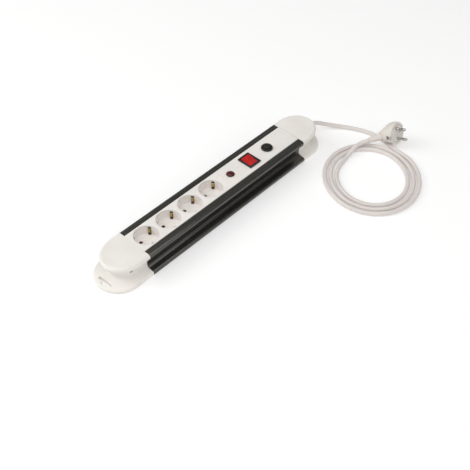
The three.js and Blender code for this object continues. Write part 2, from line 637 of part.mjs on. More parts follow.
const neckHalfAt = (cap, x) => (
  WEB_HALF * Math.sqrt(1 - ((x - NECK_STRAIGHT) / (cap.neck - NECK_STRAIGHT)) ** 2));
const SIDE_SCREW = { head: 2.4, shank: 1.3, headHeight: 1.6, length: 9, sink: 1.2 };

function sideScrewHole(cap, side) {
  const surface = neckHalfAt(cap, SIDE_SCREW_FROM_PROFILE);
  const shank = new THREE.CylinderGeometry(SIDE_SCREW.shank + GAP, SIDE_SCREW.shank + GAP, 14, 16);
  shank.translate(SIDE_SCREW_FROM_PROFILE, side * (surface - 5), SIDE_SCREW_HEIGHT);
  const sink = SIDE_SCREW.sink + SIDE_SCREW.headHeight + GAP;
  const seat = new THREE.CylinderGeometry(SIDE_SCREW.head + GAP, SIDE_SCREW.head + GAP, sink + 3, 20);
  seat.translate(SIDE_SCREW_FROM_PROFILE, side * (surface - sink + (sink + 3) / 2), SIDE_SCREW_HEIGHT);
  return [shank, seat];
}

function sideScrew(cap, side) {
  const surface = neckHalfAt(cap, SIDE_SCREW_FROM_PROFILE) - SIDE_SCREW.sink;
  const profile = [
    [0, -SIDE_SCREW.length], [SIDE_SCREW.shank, -SIDE_SCREW.length + 1],
    [SIDE_SCREW.shank, -SIDE_SCREW.headHeight],
    [SIDE_SCREW.head, -SIDE_SCREW.headHeight], [SIDE_SCREW.head, -0.5], [SIDE_SCREW.head - 0.6, 0], [0, 0],
  ];
  const recess = [block(-1.7, 1.7, -0.35, 0.35, -0.8, 1), block(-0.35, 0.35, -1.7, 1.7, -0.8, 1)];
  const screw = cut(turned(profile, 12), ...recess);
  screw.rotateX(-side * Math.PI / 2);
  return screw.translate(SIDE_SCREW_FROM_PROFILE, side * surface, SIDE_SCREW_HEIGHT);
}

function keyhole(cap) {
  const x = cap.flange - KEYHOLE_FROM_TIP;
  const slot = post(x, 0, KEYHOLE_SLOT.width, KEYHOLE_SLOT.length, -1, 12);
  return join(slot, disc(x + 2.2, 0, KEYHOLE_RADIUS, -1, 12, 24));
}

// Where the tongue meets the face plate it is cut back to the plate's bowed end.
function faceRelief(side) {
  const plan = raised(facePlan(FACE_HALF, GAP), FACE_UNDER - GAP, FACE_TOP + 1, 8);
  if (side > 0) return plan.translate(-PROFILE_END, 0, 0);
  return plan.translate(-PROFILE_START, 0, 0).rotateZ(Math.PI);
}

// Both caps are drawn with the profile's end at x = 0 and the tip towards +X.
function endCap(cap, side, extras, holes) {
  const skin = capSkin(cap).translate(GAP, 0, 0);
  const shell = cut(skin, capPocket(cap));
  const bosses = [-1, 1].map(sideBoss);
  const screwHoles = [-1, 1].flatMap((edge) => sideScrewHole(cap, edge));
  const whole = join(shell, capSpigot(), ...bosses, ...extras);
  return cut(whole, ...screwHoles, faceRelief(side), ...holes);
}

// Cord clamp seat inside the cord cap.
const CLAMP = {
  x: 15, length: 8, half: CORD_RADIUS + 10.25, screwY: CORD_RADIUS + 5.75,
  top: CORD_HEIGHT + CORD_RADIUS + 1.75,
};
const clampBlock = (z0, z1) => post(CLAMP.x, 0, CLAMP.length, 2 * CLAMP.half, z0, z1);
const CLAMP_SCREW = { shank: 1.5, head: 2.9, headHeight: 2, depth: 10 };

function cordBore(radius, x0, x1) {
  const bore = new THREE.CylinderGeometry(radius, radius, x1 - x0, 20);
  return bore.rotateZ(Math.PI / 2).translate((x0 + x1) / 2, 0, CORD_HEIGHT);
}

function clampScrewHoles(z0, z1) {
  return [-1, 1].map((side) => disc(CLAMP.x, side * CLAMP.screwY, CLAMP_SCREW.shank + GAP, z0, z1, 16));
}

const GLAND_RADIUS = CORD_RADIUS + 2.85;
const GLAND = {
  start: CORD_CAP.neck - 7.7, radius: GLAND_RADIUS, flange: GLAND_RADIUS + 1.8, flangeWidth: 2.4,
};
const nearCap = new THREE.Group();
nearCap.position.x = PROFILE_START;
nearCap.rotation.z = Math.PI;
const cordCap = new THREE.Group();
cordCap.position.x = PROFILE_END;
strip.add(nearCap, cordCap);

place('end_cap_hanger', endCap(NEAR_CAP, -1, [], [keyhole(NEAR_CAP)]), whitePlastic(), nearCap);
const cordCapHoles = [
  cordBore(CORD_RADIUS + GAP, CLAMP.x - 8, CLAMP.x + 8),
  cordBore(GLAND.radius + GAP, GLAND.start - 2, CORD_CAP.neck + 9),
  ...clampScrewHoles(CORD_HEIGHT - CLAMP_SCREW.depth, CORD_HEIGHT + 1),
];
const cordCapBody = endCap(CORD_CAP, 1, [clampBlock(3, CORD_HEIGHT - GAP)], cordCapHoles);
place('end_cap_cord', cordCapBody, whitePlastic(), cordCap);
[['hanger', NEAR_CAP, nearCap], ['cord', CORD_CAP, cordCap]].forEach(([label, cap, group]) => {
  [1, -1].forEach((side, i) => {
    place(`cap_screw_${label}_${i + 1}`, sideScrew(cap, side), steel(), group);
  });
});

function cordClamp() {
  const bore = cordBore(CORD_RADIUS + GAP, CLAMP.x - 8, CLAMP.x + 8);
  return cut(clampBlock(CORD_HEIGHT + GAP, CLAMP.top), bore, ...clampScrewHoles(CORD_HEIGHT, CLAMP.top + 1));
}

function clampScrew(side) {
  const foot = CLAMP.top + GAP;
  const screw = turned([
    [0, CORD_HEIGHT - CLAMP_SCREW.depth + 1], [CLAMP_SCREW.shank, CORD_HEIGHT - CLAMP_SCREW.depth + 2],
    [CLAMP_SCREW.shank, foot], [CLAMP_SCREW.head, foot], [CLAMP_SCREW.head, foot + CLAMP_SCREW.headHeight],
    [0, foot + CLAMP_SCREW.headHeight],
  ], 16);
  const slot = post(0, 0, 7, 0.8, foot + 1, foot + 3);
  return cut(screw, slot).translate(CLAMP.x, side * CLAMP.screwY, 0);
}

place('cord_clamp', cordClamp(), insulator(), cordCap);
[1, -1].forEach((side, i) => place(`clamp_screw_${i + 1}`, clampScrew(side), steel(), cordCap));

// ---------- gland and inner sheath ----------
const GLAND_TIP = CORD_CAP.neck + GLAND_LENGTH - 2;

function gland() {
  const shoulder = GLAND.start + GLAND.flangeWidth;
  const profile = [
    [0, GLAND.start], [GLAND.flange, GLAND.start], [GLAND.flange, shoulder], [GLAND.radius, shoulder],
    [GLAND.radius, CORD_CAP.neck + 4],
  ];
  const rings = 3;
  const run = GLAND_TIP - CORD_CAP.neck - 4;
  for (let i = 0; i < rings; i += 1) {
    const x = CORD_CAP.neck + 4 + (run * (i + 1)) / (rings + 1);
    const r = THREE.MathUtils.lerp(GLAND.radius, CORD_RADIUS + 0.8, (i + 1) / (rings + 1));
    profile.push([r, x - 0.9], [r - 0.7, x - 0.6], [r - 0.7, x + 0.3], [r, x + 0.6]);
  }
  profile.push([CORD_RADIUS + 0.8, GLAND_TIP], [0, GLAND_TIP]);
  return turned(profile, 16).rotateY(Math.PI / 2).translate(0, 0, CORD_HEIGHT);
}

place('cord_gland', gland(), cordWhite(), cordCap);
const SHEATH_START = 5;
const sheath = cordBore(CORD_RADIUS, SHEATH_START, GLAND.start - GAP);
place('cord_sheath', sheath, cordWhite(), cordCap);

// ---------- inner wires ----------
const WIRE_RADIUS = 1.1;
const wireHeight = SWITCH_FOOT - GAP - BLADE.length - WIRE_RADIUS - GAP;
const sheathX = PROFILE_END + SHEATH_START - GAP;
const blade = (i) => [switchX + switchBlades[i][0], switchBlades[i][1]];
const barWire = BAR_END + GAP;
const lineY = PIN_OFFSET.y + SLEEVE_RADIUS - 0.3;
const barWireHeight = BAR_FOOT + BAR_HEIGHT / 2;
const breakerWireHeight = breakerBladeFoot - GAP - WIRE_RADIUS;
const sheathWire = CORD_RADIUS - 1.95; // how far the live wires leave the sheath beside its middle

// Each wire starts with a short straight run from the cut end of the sheath or from its blade.
function wire(name, color, rows) {
  place(name, tube(vectors(rows), WIRE_RADIUS, 3 * rows.length, 6), finish(color, 0.5));
}

wire('wire_line_to_breaker', 0x6b4326, [
  [sheathX, sheathWire, CORD_HEIGHT + 1], [sheathX - 3, sheathWire, CORD_HEIGHT + 1],
  [sheathX - 9, 3, CORD_HEIGHT + 4], [boardAt(0.8), 0, 28.5], [boardAt(0.27), -4, 28],
  [BOARD.from - 2.4, -6.5, 20], [BOARD.from - 5, -BREAKER_BLADE.y, breakerWireHeight + 3],
  [breakerX + 0.8, -BREAKER_BLADE.y, breakerWireHeight],
]);
wire('wire_breaker_to_switch', 0x6b4326, [
  [breakerX - 0.8, BREAKER_BLADE.y, breakerWireHeight], [breakerX - 8, BREAKER_BLADE.y, breakerWireHeight],
  [blade(3)[0] + 12, 7, wireHeight], [blade(3)[0], blade(3)[1], wireHeight],
]);
wire('wire_switch_to_line_bar', 0x6b4326, [
  [blade(2)[0], blade(2)[1], wireHeight], [blade(2)[0] - 12, 8, wireHeight + 1],
  [barWire + 12, lineY + 1, barWireHeight], [barWire + WIRE_RADIUS, lineY, barWireHeight],
]);
wire('wire_neutral_to_switch', 0x2f4f8f, [
  [sheathX, -sheathWire, CORD_HEIGHT + 1], [sheathX - 3, -sheathWire, CORD_HEIGHT + 1],
  [sheathX - 10, -7, CORD_HEIGHT], [boardAt(0.67), -15, 18], [boardAt(0.13), -16, 16],
  [breakerX + 4, -16.5, 10], [breakerX - 12, -15, wireHeight + 0.4],
  [blade(1)[0] + 8, -9, wireHeight + 0.4],
  [blade(1)[0], blade(1)[1], wireHeight],
]);
wire('wire_switch_to_neutral_bar', 0x2f4f8f, [
  [blade(0)[0], blade(0)[1], wireHeight], [blade(0)[0] - 12, -8, wireHeight + 1],
  [barWire + 12, -lineY - 1, barWireHeight], [barWire + WIRE_RADIUS, -lineY, barWireHeight],
]);
const earthEnd = (EARTH_BAR_FOOT + EARTH_BAR_TOP) / 2;
const earthRun = 19; // distance of the earth wire from the middle, beside the breaker and the switch
wire('wire_earth_to_bar', 0x7f9a35, [
  [sheathX, 0, CORD_HEIGHT - 2.2], [sheathX - 3, 0, CORD_HEIGHT - 2.2],
  [sheathX - 9, 7, CORD_HEIGHT - 4],
  [boardAt(0.83), earthRun - 1, 16], [boardAt(0.07), earthRun, 15], [breakerX, earthRun, 14],
  [switchX, earthRun, 14], [switchX - 22, 15, 15], [lampX, 8, 16.5], [barWire + 10, 0.6, earthEnd],
  [barWire + WIRE_RADIUS, 0, earthEnd],
]);

// ---------- plug ----------
// Plug frame: Z out of the face along the pins, X between the pins, Y away from the cord.
const plugTurn = new THREE.Matrix4().makeBasis(
  new THREE.Vector3(0, -Math.sin(PLUG_TILT), -Math.cos(PLUG_TILT)), new THREE.Vector3(1, 0, 0),
  new THREE.Vector3(0, -Math.cos(PLUG_TILT), Math.sin(PLUG_TILT)));
const plugHeight = CORD_REST + CORD_RADIUS + 19.85; // the plug lies on the coil
const plugFace = new THREE.Vector3(PROFILE_END + 140.2, -128.7, plugHeight);
const plug = new THREE.Group();
plug.position.copy(plugFace);
plug.quaternion.setFromRotationMatrix(plugTurn);
strip.add(plug);

// Axis along which the cord enters the plug, in the plug frame.
const plugAxis = new THREE.Vector3(0, -Math.cos(PLUG_EXIT_ANGLE), -Math.sin(PLUG_EXIT_ANGLE));
const plugAxisAt = (distance) => new THREE.Vector3(0, 0, -PLUG_DEPTH).addScaledVector(plugAxis, distance);

// Points of a circle round the plug's own axis or round the cord's axis.
function hoop(radius, centre, axis, count = 24) {
  const aim = new THREE.Quaternion().setFromUnitVectors(new THREE.Vector3(0, 0, 1), axis);
  return Array.from({ length: count }, (_, i) => {
    const point = new THREE.Vector3(radius, 0, 0);
    point.applyAxisAngle(new THREE.Vector3(0, 0, 1), (2 * Math.PI * i) / count);
    return point.applyQuaternion(aim).add(centre);
  });
}

const PLUG_INSERT = { radius: 14.5, depth: 3.6 };
const EARTH_STRIP = { width: 6, thickness: 1, length: 10, recess: 2.6 };

function plugBody() {
  const out = new THREE.Vector3(0, 0, 1);
  const level = (inset, y, z) => hoop(PLUG_RADIUS - inset, new THREE.Vector3(0, y, z), out);
  const hull = new ConvexGeometry([
    ...level(0.8, 0, 0), ...level(0, 0, -0.9), ...level(0, 0, -8), ...level(3.5, -1, -17),
    ...level(9, -4, -22.5), ...hoop(PLUG_RELIEF.wide + 0.8, plugAxisAt(PLUG_RELIEF.start), plugAxis, 20),
  ]);
  const insert = disc(0, 0, PLUG_INSERT.radius + GAP, -PLUG_INSERT.depth - GAP, 1, 32);
  const notches = [-1, 1].map((side) => {
    const edge = side * (PLUG_RADIUS - EARTH_STRIP.recess / 2 + 0.5);
    return post(0, edge, EARTH_STRIP.width + 2 * GAP, EARTH_STRIP.recess + 1, -EARTH_STRIP.length - 1, 1);
  });
  return cut(hull, insert, ...notches);
}

function plugInsert() {
  const face = disc(0, 0, PLUG_INSERT.radius, -PLUG_INSERT.depth, -0.4, 32);
  const holes = [-1, 1].map((side) => disc(side * PIN_SPACING / 2, 0, PLUG_PIN_RADIUS + GAP, -6, 1, 20));
  const socket = disc(0, 9, 2.6, -6, 1, 20);
  return cut(face, ...holes, socket);
}

function plugPin() {
  return turned([
    [0, -3], [PLUG_PIN_RADIUS, -3], [PLUG_PIN_RADIUS, PLUG_PIN_LENGTH - 2],
    [PLUG_PIN_RADIUS - 0.7, PLUG_PIN_LENGTH - 0.6], [0, PLUG_PIN_LENGTH],
  ], 16);
}

function plugEarthStrip(side) {
  const y = side * (PLUG_RADIUS - EARTH_STRIP.recess + GAP + EARTH_STRIP.thickness / 2);
  return post(0, y, EARTH_STRIP.width, EARTH_STRIP.thickness, -EARTH_STRIP.length, -1);
}

function plugRelief() {
  const { start, end, wide, narrow } = PLUG_RELIEF;
  const profile = [[0, start + GAP], [wide, start + GAP], [wide, start + 3]];
  const rings = 3;
  for (let i = 0; i < rings; i += 1) {
    const share = (i + 1) / (rings + 1);
    const z = THREE.MathUtils.lerp(start + 3, end, share);
    const r = THREE.MathUtils.lerp(wide, narrow, share);
    profile.push([r, z - 1], [r - 0.8, z - 0.7], [r - 0.8, z + 0.4], [r, z + 0.7]);
  }
  profile.push([narrow, end], [0, end]);
  return turned(profile, 16);
}

place('plug_body', plugBody(), plugBeige(), plug);
place('plug_insert', plugInsert(), plugBeige(), plug);
[1, -1].forEach((side, i) => {
  place(`plug_pin_${i + 1}`, plugPin(), steel(), plug).position.x = side * PIN_SPACING / 2;
  place(`plug_earth_contact_${i + 1}`, plugEarthStrip(side), steel(), plug);
});
const reliefMesh = place('plug_relief', plugRelief(), plugBeige(), plug);
reliefMesh.position.set(0, 0, -PLUG_DEPTH);
reliefMesh.quaternion.setFromUnitVectors(new THREE.Vector3(0, 0, 1), plugAxis);

// ---------- mains cord ----------
// From the gland the cord sinks to the desk, winds three loose turns inwards and climbs over them
// to the plug.
function cordRoute() {
  const fromCap = [
    [GLAND_TIP + GAP, 0, CORD_HEIGHT], [GLAND_TIP + 5.5, 0, CORD_HEIGHT - 0.1], [73, -1.2, 20.1],
    [79, -3.7, 17.8],
    [86, -7.8, 14.4], [95, -14.2, 10.5], [104, -21.8, 7], [113, -31.4, 4.6], [120.5, -43, CORD_REST],
    [127, -57, CORD_REST], [132, -72, CORD_REST], [134.5, -87, CORD_REST], [134.3, -102, CORD_REST],
    [132, -117, CORD_REST],
  ];
  const coil = [];
  const turns = (COIL_END - COIL_START) / 360;
  const count = Math.round(turns * COIL_POINTS_PER_TURN);
  for (let i = 0; i <= count; i += 1) {
    const wound = THREE.MathUtils.degToRad(COIL_START + ((COIL_END - COIL_START) * i) / count);
    const angle = THREE.MathUtils.degToRad(COIL.phase) - wound;
    const radius = COIL.radius - COIL.shrink * wound + COIL.oval * Math.sin(2 * angle);
    const [x, y] = [COIL.x + radius * Math.cos(angle), COIL.y + radius * Math.sin(angle)];
    coil.push([x, y, CORD_REST]);
  }
  const crossing = CORD_REST + 2 * CORD_RADIUS + 1.2;
  const climb = (share) => THREE.MathUtils.lerp(CORD_REST, crossing, share);
  const toPlug = [
    [14, -99, CORD_REST], [28, -93.2, CORD_REST], [42, -90.2, CORD_REST], [54, -88.4, climb(0.08)],
    [64, -87.6, climb(0.45)], [72, -87.4, climb(0.82)], [80, -88, crossing], [88, -89.6, climb(1.08)],
  ];
  const points = vectors([...fromCap, ...coil, ...toPlug].map(([x, y, z]) => [x + PROFILE_END, y, z]));
  for (const back of [8, GAP]) {
    points.push(plugAxisAt(PLUG_RELIEF.end + back).applyMatrix4(plugTurn).add(plugFace));
  }
  return points;
}

place('mains_cord', tube(cordRoute(), CORD_RADIUS, 80, 8), cordWhite());

export default strip;
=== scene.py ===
"""Looks of a desk power strip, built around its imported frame.

Metres. X runs along the strip towards its mains cord, Z is up, and the strip lies on Z = 0.
"""

import logging
import math
from collections.abc import Sequence
from dataclasses import dataclass
from enum import Enum
from typing import Self

import bmesh
import bpy
from mathutils import Matrix, Vector


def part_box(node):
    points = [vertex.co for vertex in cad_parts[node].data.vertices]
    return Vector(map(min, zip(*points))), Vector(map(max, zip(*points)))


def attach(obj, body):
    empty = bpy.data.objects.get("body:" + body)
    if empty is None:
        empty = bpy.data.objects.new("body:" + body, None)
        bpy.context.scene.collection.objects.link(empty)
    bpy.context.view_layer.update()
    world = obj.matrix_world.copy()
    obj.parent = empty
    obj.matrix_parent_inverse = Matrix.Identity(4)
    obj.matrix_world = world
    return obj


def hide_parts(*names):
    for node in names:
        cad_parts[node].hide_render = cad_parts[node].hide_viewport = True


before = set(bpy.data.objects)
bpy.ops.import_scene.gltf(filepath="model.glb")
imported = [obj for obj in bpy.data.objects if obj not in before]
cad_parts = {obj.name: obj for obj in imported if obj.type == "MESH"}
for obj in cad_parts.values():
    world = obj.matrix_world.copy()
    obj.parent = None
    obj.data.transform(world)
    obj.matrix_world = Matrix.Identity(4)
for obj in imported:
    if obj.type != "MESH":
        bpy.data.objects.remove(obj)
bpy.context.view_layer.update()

LOG = logging.getLogger("power_strip")
MM = 0.001
GAP = 0.3 * MM  # clearance between neighbouring pieces

Pair = tuple[float, float]
Triple = tuple[float, float, float]
Colour = tuple[float, float, float, float]
Socket = bpy.types.NodeSocket


# ---------------------------------------------------------------- outlines and places


def mm(*points: Pair, at: Pair = (0.0, 0.0)) -> list[Pair]:
    """Points given in millimetres from a place, in metres."""
    return [(at[0] + u * MM, at[1] + v * MM) for u, v in points]


def middle_of(node: str) -> float:
    """X of the middle of a CAD node's box."""
    low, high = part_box(node)
    return ((low + high) / 2).x


def shift(x: float = 0.0, y: float = 0.0, z: float = 0.0) -> Matrix:
    """A move, as a matrix."""
    return Matrix.Translation((x, y, z))


def turn(degrees: float, axis: str) -> Matrix:
    """A turn about an axis, as a matrix."""
    return Matrix.Rotation(math.radians(degrees), 4, axis)


def along_x() -> Matrix:
    """Turns a plate drawn in (Y, Z) so that its thickness runs along X."""
    return Matrix(((0, 0, 1, 0), (1, 0, 0, 0), (0, 1, 0, 0), (0, 0, 0, 1)))


def through(points: Sequence[Vector], per_span: int) -> list[Vector]:
    """Points of a centripetal Catmull-Rom curve through the given ones.

    Args:
        points: the points to pass through, in order.
        per_span: how many steps to take between neighbours.

    Returns:
        The points along the curve, ends included.
    """
    run = [2 * points[0] - points[1], *points, 2 * points[-1] - points[-2]]
    curve = []
    for a, b, c, d in zip(run, run[1:], run[2:], run[3:]):
        t0, t1, t2 = ((q - p).length ** 0.5 for p, q in ((a, b), (b, c), (c, d)))
        leave = ((b - a) / t0 - (c - a) / (t0 + t1) + (c - b) / t1) * t1
        arrive = ((c - b) / t1 - (d - b) / (t1 + t2) + (d - c) / t2) * t1
        for t in (step / per_span for step in range(per_span)):
            curve.append(
                b * (2 * t**3 - 3 * t**2 + 1) + leave * (t**3 - 2 * t**2 + t)
                + c * (3 * t**2 - 2 * t**3) + arrive * (t**3 - t**2))
    curve.append(points[-1].copy())
    return curve


def filleted(points: Sequence[Pair], radius: float, steps: int = 4, closed: bool = True) -> list[Pair]:
    """A polygon or line with its corners rounded.

    Args:
        points: the corners.
        radius: corner radius; a short side takes a smaller one.
        steps: segments in each rounded corner.
        closed: whether the last corner joins the first.

    Returns:
        The rounded outline.
    """
    corners = [Vector(p) for p in points]
    count = len(corners)
    result = []
    for i, corner in enumerate(corners):
        trim = 0.0
        if closed or 0 < i < count - 1:
            back, ahead = corners[i - 1] - corner, corners[(i + 1) % count] - corner
            half = max(back.angle(ahead) / 2, 0.05)
            trim = min(radius / math.tan(half), 0.45 * back.length, 0.45 * ahead.length)
        if trim < 1e-7:
            result.append(tuple(corner))
            continue
        first, last = corner + back.normalized() * trim, corner + ahead.normalized() * trim
        for t in (step / steps for step in range(steps + 1)):
            result.append(tuple(first * (1 - t) ** 2 + corner * 2 * t * (1 - t) + last * t**2))
    return result


def rectangle(width: float, depth: float, radius: float, centre: Pair = (0.0, 0.0)) -> list[Pair]:
    """Outline of a rectangle with rounded corners, by its sides, corner radius and centre."""
    x, y = width / 2, depth / 2
    outline = filleted([(-x, -y), (x, -y), (x, y), (-x, y)], radius, 5)
    return [(u + centre[0], v + centre[1]) for u, v in outline]


def circle(radius: float, centre: Pair = (0.0, 0.0), steps: int = 96) -> list[Pair]:
    """Outline of a circle, by its radius and centre."""
    turns = [2 * math.pi * i / steps for i in range(steps)]
    return [(centre[0] + radius * math.cos(a), centre[1] + radius * math.sin(a)) for a in turns]


def mirrored(half: Sequence[Pair]) -> list[Pair]:
    """Closed outline from one side's points, in order, and their mirror image."""
    return [*half, *((-u, v) for u, v in reversed(half) if abs(u) > 1e-9)]


@dataclass(frozen=True)
class StripSizes:
    """Section and places that the profile, the face and the caps share, read off the frame.

    Attributes:
        start: X of the profile's hanger end.
        end: X of the profile's cord end.
        height: top of the rails.
        face_top: top of the socket face.
    """

    start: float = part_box("aluminium_profile")[0].x
    end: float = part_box("aluminium_profile")[1].x
    height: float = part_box("aluminium_profile")[1].z
    face_top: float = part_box("face_plate")[1].z
    face_wall: float = 2.5 * MM
    face_half: float = 22.5 * MM
    face_bow: float = 1.2 * MM
    rail_half: float = 34.8 * MM
    rail_lip: float = 7.0 * MM
    web_half: float = 25.6 * MM
    web_wall: float = 1.8 * MM
    base_half: float = 39.0 * MM
    floor_wall: float = 2.0 * MM
    rib_width: float = 0.45 * MM
    span_steps: int = 5

    def section(self, rib: float = 0.0) -> list[Pair]:
        """Outer half section from the foot up to the rail's top.

        Args:
            rib: height of the three fine ribs along the profile; 0 leaves them out.

        Returns:
            Half widths and heights.
        """
        knots = [
            *mm((-1.5, 0), (-0.35, 0.4), (0, 1.6), (0, 4.6), (-0.5, 5.9), (-2, 6.7), at=(self.base_half, 0)),
            *mm((33, 7.3), (29, 8.1), (26.6, 9.6)), *mm((0, 12.2), (0, 18.4), at=(self.web_half, 0)),
            *mm((26.3, 22.5), (28.5, 26.3), (32.3, 30.3)),
            *mm((-0.7, 33), (0, 35.8), (-0.5, 38.4), at=(self.rail_half, 0)),
            (self.rail_half - 2.6 * MM, self.height),
        ]
        curve = through([Vector(k) for k in knots], self.span_steps)
        if not rib:
            return [tuple(p) for p in curve]
        wide = self.rib_width
        seats = [curve[self.span_steps * knot] for knot in (4, 8, 14)]
        run = []
        for i, point in enumerate(curve):
            if point in seats:
                along = (curve[i + 1] - curve[i - 1]).normalized()
                out = Vector((along.y, -along.x)) * rib
                run += [point - along * wide, point - along * wide / 2 + out,
                        point + along * wide / 2 + out, point + along * wide]
            elif all((point - seat).length > wide * 1.2 for seat in seats):
                run.append(point)
        return [tuple(p) for p in run]


# ---------------------------------------------------------------- finishes


def linear(red: int, green: int, blue: int) -> Colour:
    """Linear RGBA of a colour given as 0 to 255 display values."""
    shares = (value / 255 for value in (red, green, blue))
    return *(s / 12.92 if s <= 0.04045 else ((s + 0.055) / 1.055) ** 2.4 for s in shares), 1.0


def shaded(colour: Colour, factor: float) -> Colour:
    """A colour made lighter or darker by a factor."""
    return *(min(1.0, c * factor) for c in colour[:3]), 1.0


class Graph:
    """A material's node tree with its shader, and short ways to add to it."""

    FIRST_COLOUR, SECOND_COLOUR, COLOUR_RESULT = 6, 7, 2  # sockets of a Mix node

    def __init__(self, name: str) -> None:
        """Starts a material of that name with its Principled shader."""
        self.material = bpy.data.materials.new(name)
        self.material.use_nodes = True
        self.tree = self.material.node_tree
        self.shader = next(n for n in self.tree.nodes if n.type == "BSDF_PRINCIPLED")
        self.coords = self.tree.nodes.new("ShaderNodeTexCoord").outputs["Object"]

    def fill(self, node: bpy.types.Node, inputs: dict[str | int, object]) -> bpy.types.Node:
        """Sets a node's inputs.

        Args:
            node: the node.
            inputs: for each input, a constant, or the socket to link to it.

        Returns:
            The node.
        """
        for key, value in inputs.items():
            if isinstance(value, Socket):
                self.tree.links.new(value, node.inputs[key])
            else:
                node.inputs[key].default_value = value
        return node

    def node(self, kind: str, inputs: dict[str | int, object], **settings: str) -> bpy.types.Node:
        """Adds a node of a kind, with its inputs and its settings, and returns it."""
        node = self.tree.nodes.new(f"ShaderNode{kind}")
        for key, value in settings.items():
            setattr(node, key, value)
        return self.fill(node, inputs)

    def shade(self, **values: object) -> None:
        """Sets the shader's own inputs; underscores stand for spaces."""
        self.fill(self.shader, {key.replace("_", " "): value for key, value in values.items()})

    def noise(self, size: float, detail: float = 3.0, stretch: Triple | None = None) -> Socket:
        """A noise pattern.

        Args:
            size: feature size in metres.
            detail: octaves of finer detail.
            stretch: how many times longer the pattern is along each axis.

        Returns:
            The noise's value socket.
        """
        coords = self.coords
        if stretch is not None:
            scale = tuple(1 / s for s in stretch)
            coords = self.node("Mapping", {"Vector": coords, "Scale": scale}).outputs["Vector"]
        return self.node("TexNoise", {"Vector": coords, "Scale": 1 / size, "Detail": detail}).outputs["Fac"]

    def spread(self, value: Socket, low: float, high: float, start: float = 0.3, stop: float = 0.7) -> Socket:
        """Maps a value from start..stop to low..high, and returns the result's socket."""
        ends = {"From Min": start, "From Max": stop, "To Min": low, "To Max": high}
        return self.node("MapRange", {"Value": value, **ends}).outputs["Result"]

    def blended(self, share: Socket, first: Colour | Socket, second: Colour) -> Socket:
        """A colour between two by the second one's share, and returns its socket."""
        inputs = {"Factor": share, self.FIRST_COLOUR: first, self.SECOND_COLOUR: second}
        return self.node("Mix", inputs, data_type="RGBA").outputs[self.COLOUR_RESULT]

    def bump(self, height: Socket, strength: float, distance: float) -> None:
        """Adds a bump to the surface, on top of any earlier one.

        Args:
            height: socket with the height pattern.
            strength: from 0 to 1.
            distance: height of the pattern in metres.
        """
        inputs = {"Height": height, "Strength": strength, "Distance": distance}
        normal = self.shader.inputs["Normal"]
        if normal.is_linked:
            inputs["Normal"] = normal.links[0].from_socket
        self.shade(Normal=self.node("Bump", inputs).outputs["Normal"])


@dataclass(frozen=True)
class Surface:
    """What every finish has: a linear colour and a middle roughness."""

    colour: Colour
    roughness: float


@dataclass(frozen=True)
class Moulding(Surface):
    """A moulded plastic: even colour with faint drift, fine grain and handled patches.

    Attributes:
        drift: share by which the colour drifts.
        grain: strength of the fine surface grain.
        grain_size: size of the grain in metres.
        soft: subsurface weight.
    """

    drift: float = 0.035
    grain: float = 0.12
    grain_size: float = 0.35 * MM
    soft: float = 0.0

    def material(self, name: str) -> bpy.types.Material:
        """Builds the finish's material under a name."""
        graph = Graph(name)
        pale, deep = (shaded(self.colour, 1 + side * self.drift) for side in (1, -1))
        graph.shade(
            Base_Color=graph.blended(graph.spread(graph.noise(38 * MM, 4), 0, 1), deep, pale),
            Roughness=graph.spread(graph.noise(9 * MM, 6), self.roughness * 0.86, self.roughness * 1.16),
            Subsurface_Weight=self.soft, Subsurface_Scale=1.2 * MM)
        graph.bump(graph.noise(self.grain_size, 3), self.grain, 0.03 * MM)
        graph.bump(graph.noise(14 * MM, 2), 0.1, 0.12 * MM)
        return graph.material


@dataclass(frozen=True)
class DrawnMetal(Surface):
    """A metal with drawing or rolling lines and slightly uneven polish.

    Attributes:
        metallic: how metallic the surface is.
        lines: how many times longer the lines are than wide, along each axis.
        line_size: width of a line in metres.
        line_depth: bump strength of the lines.
    """

    metallic: float = 1.0
    lines: Triple = (120.0, 1.0, 1.0)
    line_size: float = 0.25 * MM
    line_depth: float = 0.12

    def material(self, name: str) -> bpy.types.Material:
        """Builds the finish's material under a name."""
        graph = Graph(name)
        lines = graph.noise(self.line_size, 2, self.lines)
        cloud = graph.spread(graph.noise(16 * MM, 5), 0, 1)
        base = graph.blended(cloud, self.colour, shaded(self.colour, 0.86))
        base = graph.blended(graph.spread(lines, 0, 0.35), base, shaded(self.colour, 1.3))
        graph.shade(
            Base_Color=base, Metallic=self.metallic,
            Roughness=graph.spread(lines, self.roughness * 0.8, self.roughness * 1.25))
        graph.bump(lines, self.line_depth, 0.02 * MM)
        return graph.material


@dataclass(frozen=True)
class TintedLens(Surface):
    """A transparent coloured moulding over a dark hollow, such as a lamp's lens or a lit rocker.

    Attributes:
        deep: linear colour of the deeper parts.
        clear: transmission weight.
    """

    deep: Colour
    clear: float = 0.0

    def material(self, name: str) -> bpy.types.Material:
        """Builds the finish's material under a name."""
        graph = Graph(name)
        graph.shade(
            Base_Color=graph.blended(graph.spread(graph.noise(5 * MM, 3), 0, 1), self.colour, self.deep),
            Roughness=graph.spread(graph.noise(2 * MM, 4), self.roughness * 0.8, self.roughness * 1.3),
            Subsurface_Weight=0.1, Subsurface_Scale=1.5 * MM, Transmission_Weight=self.clear, IOR=1.45,
            Coat_Weight=0.1, Coat_Roughness=0.05)
        graph.bump(graph.noise(3 * MM, 2), 0.06, 0.05 * MM)
        return graph.material


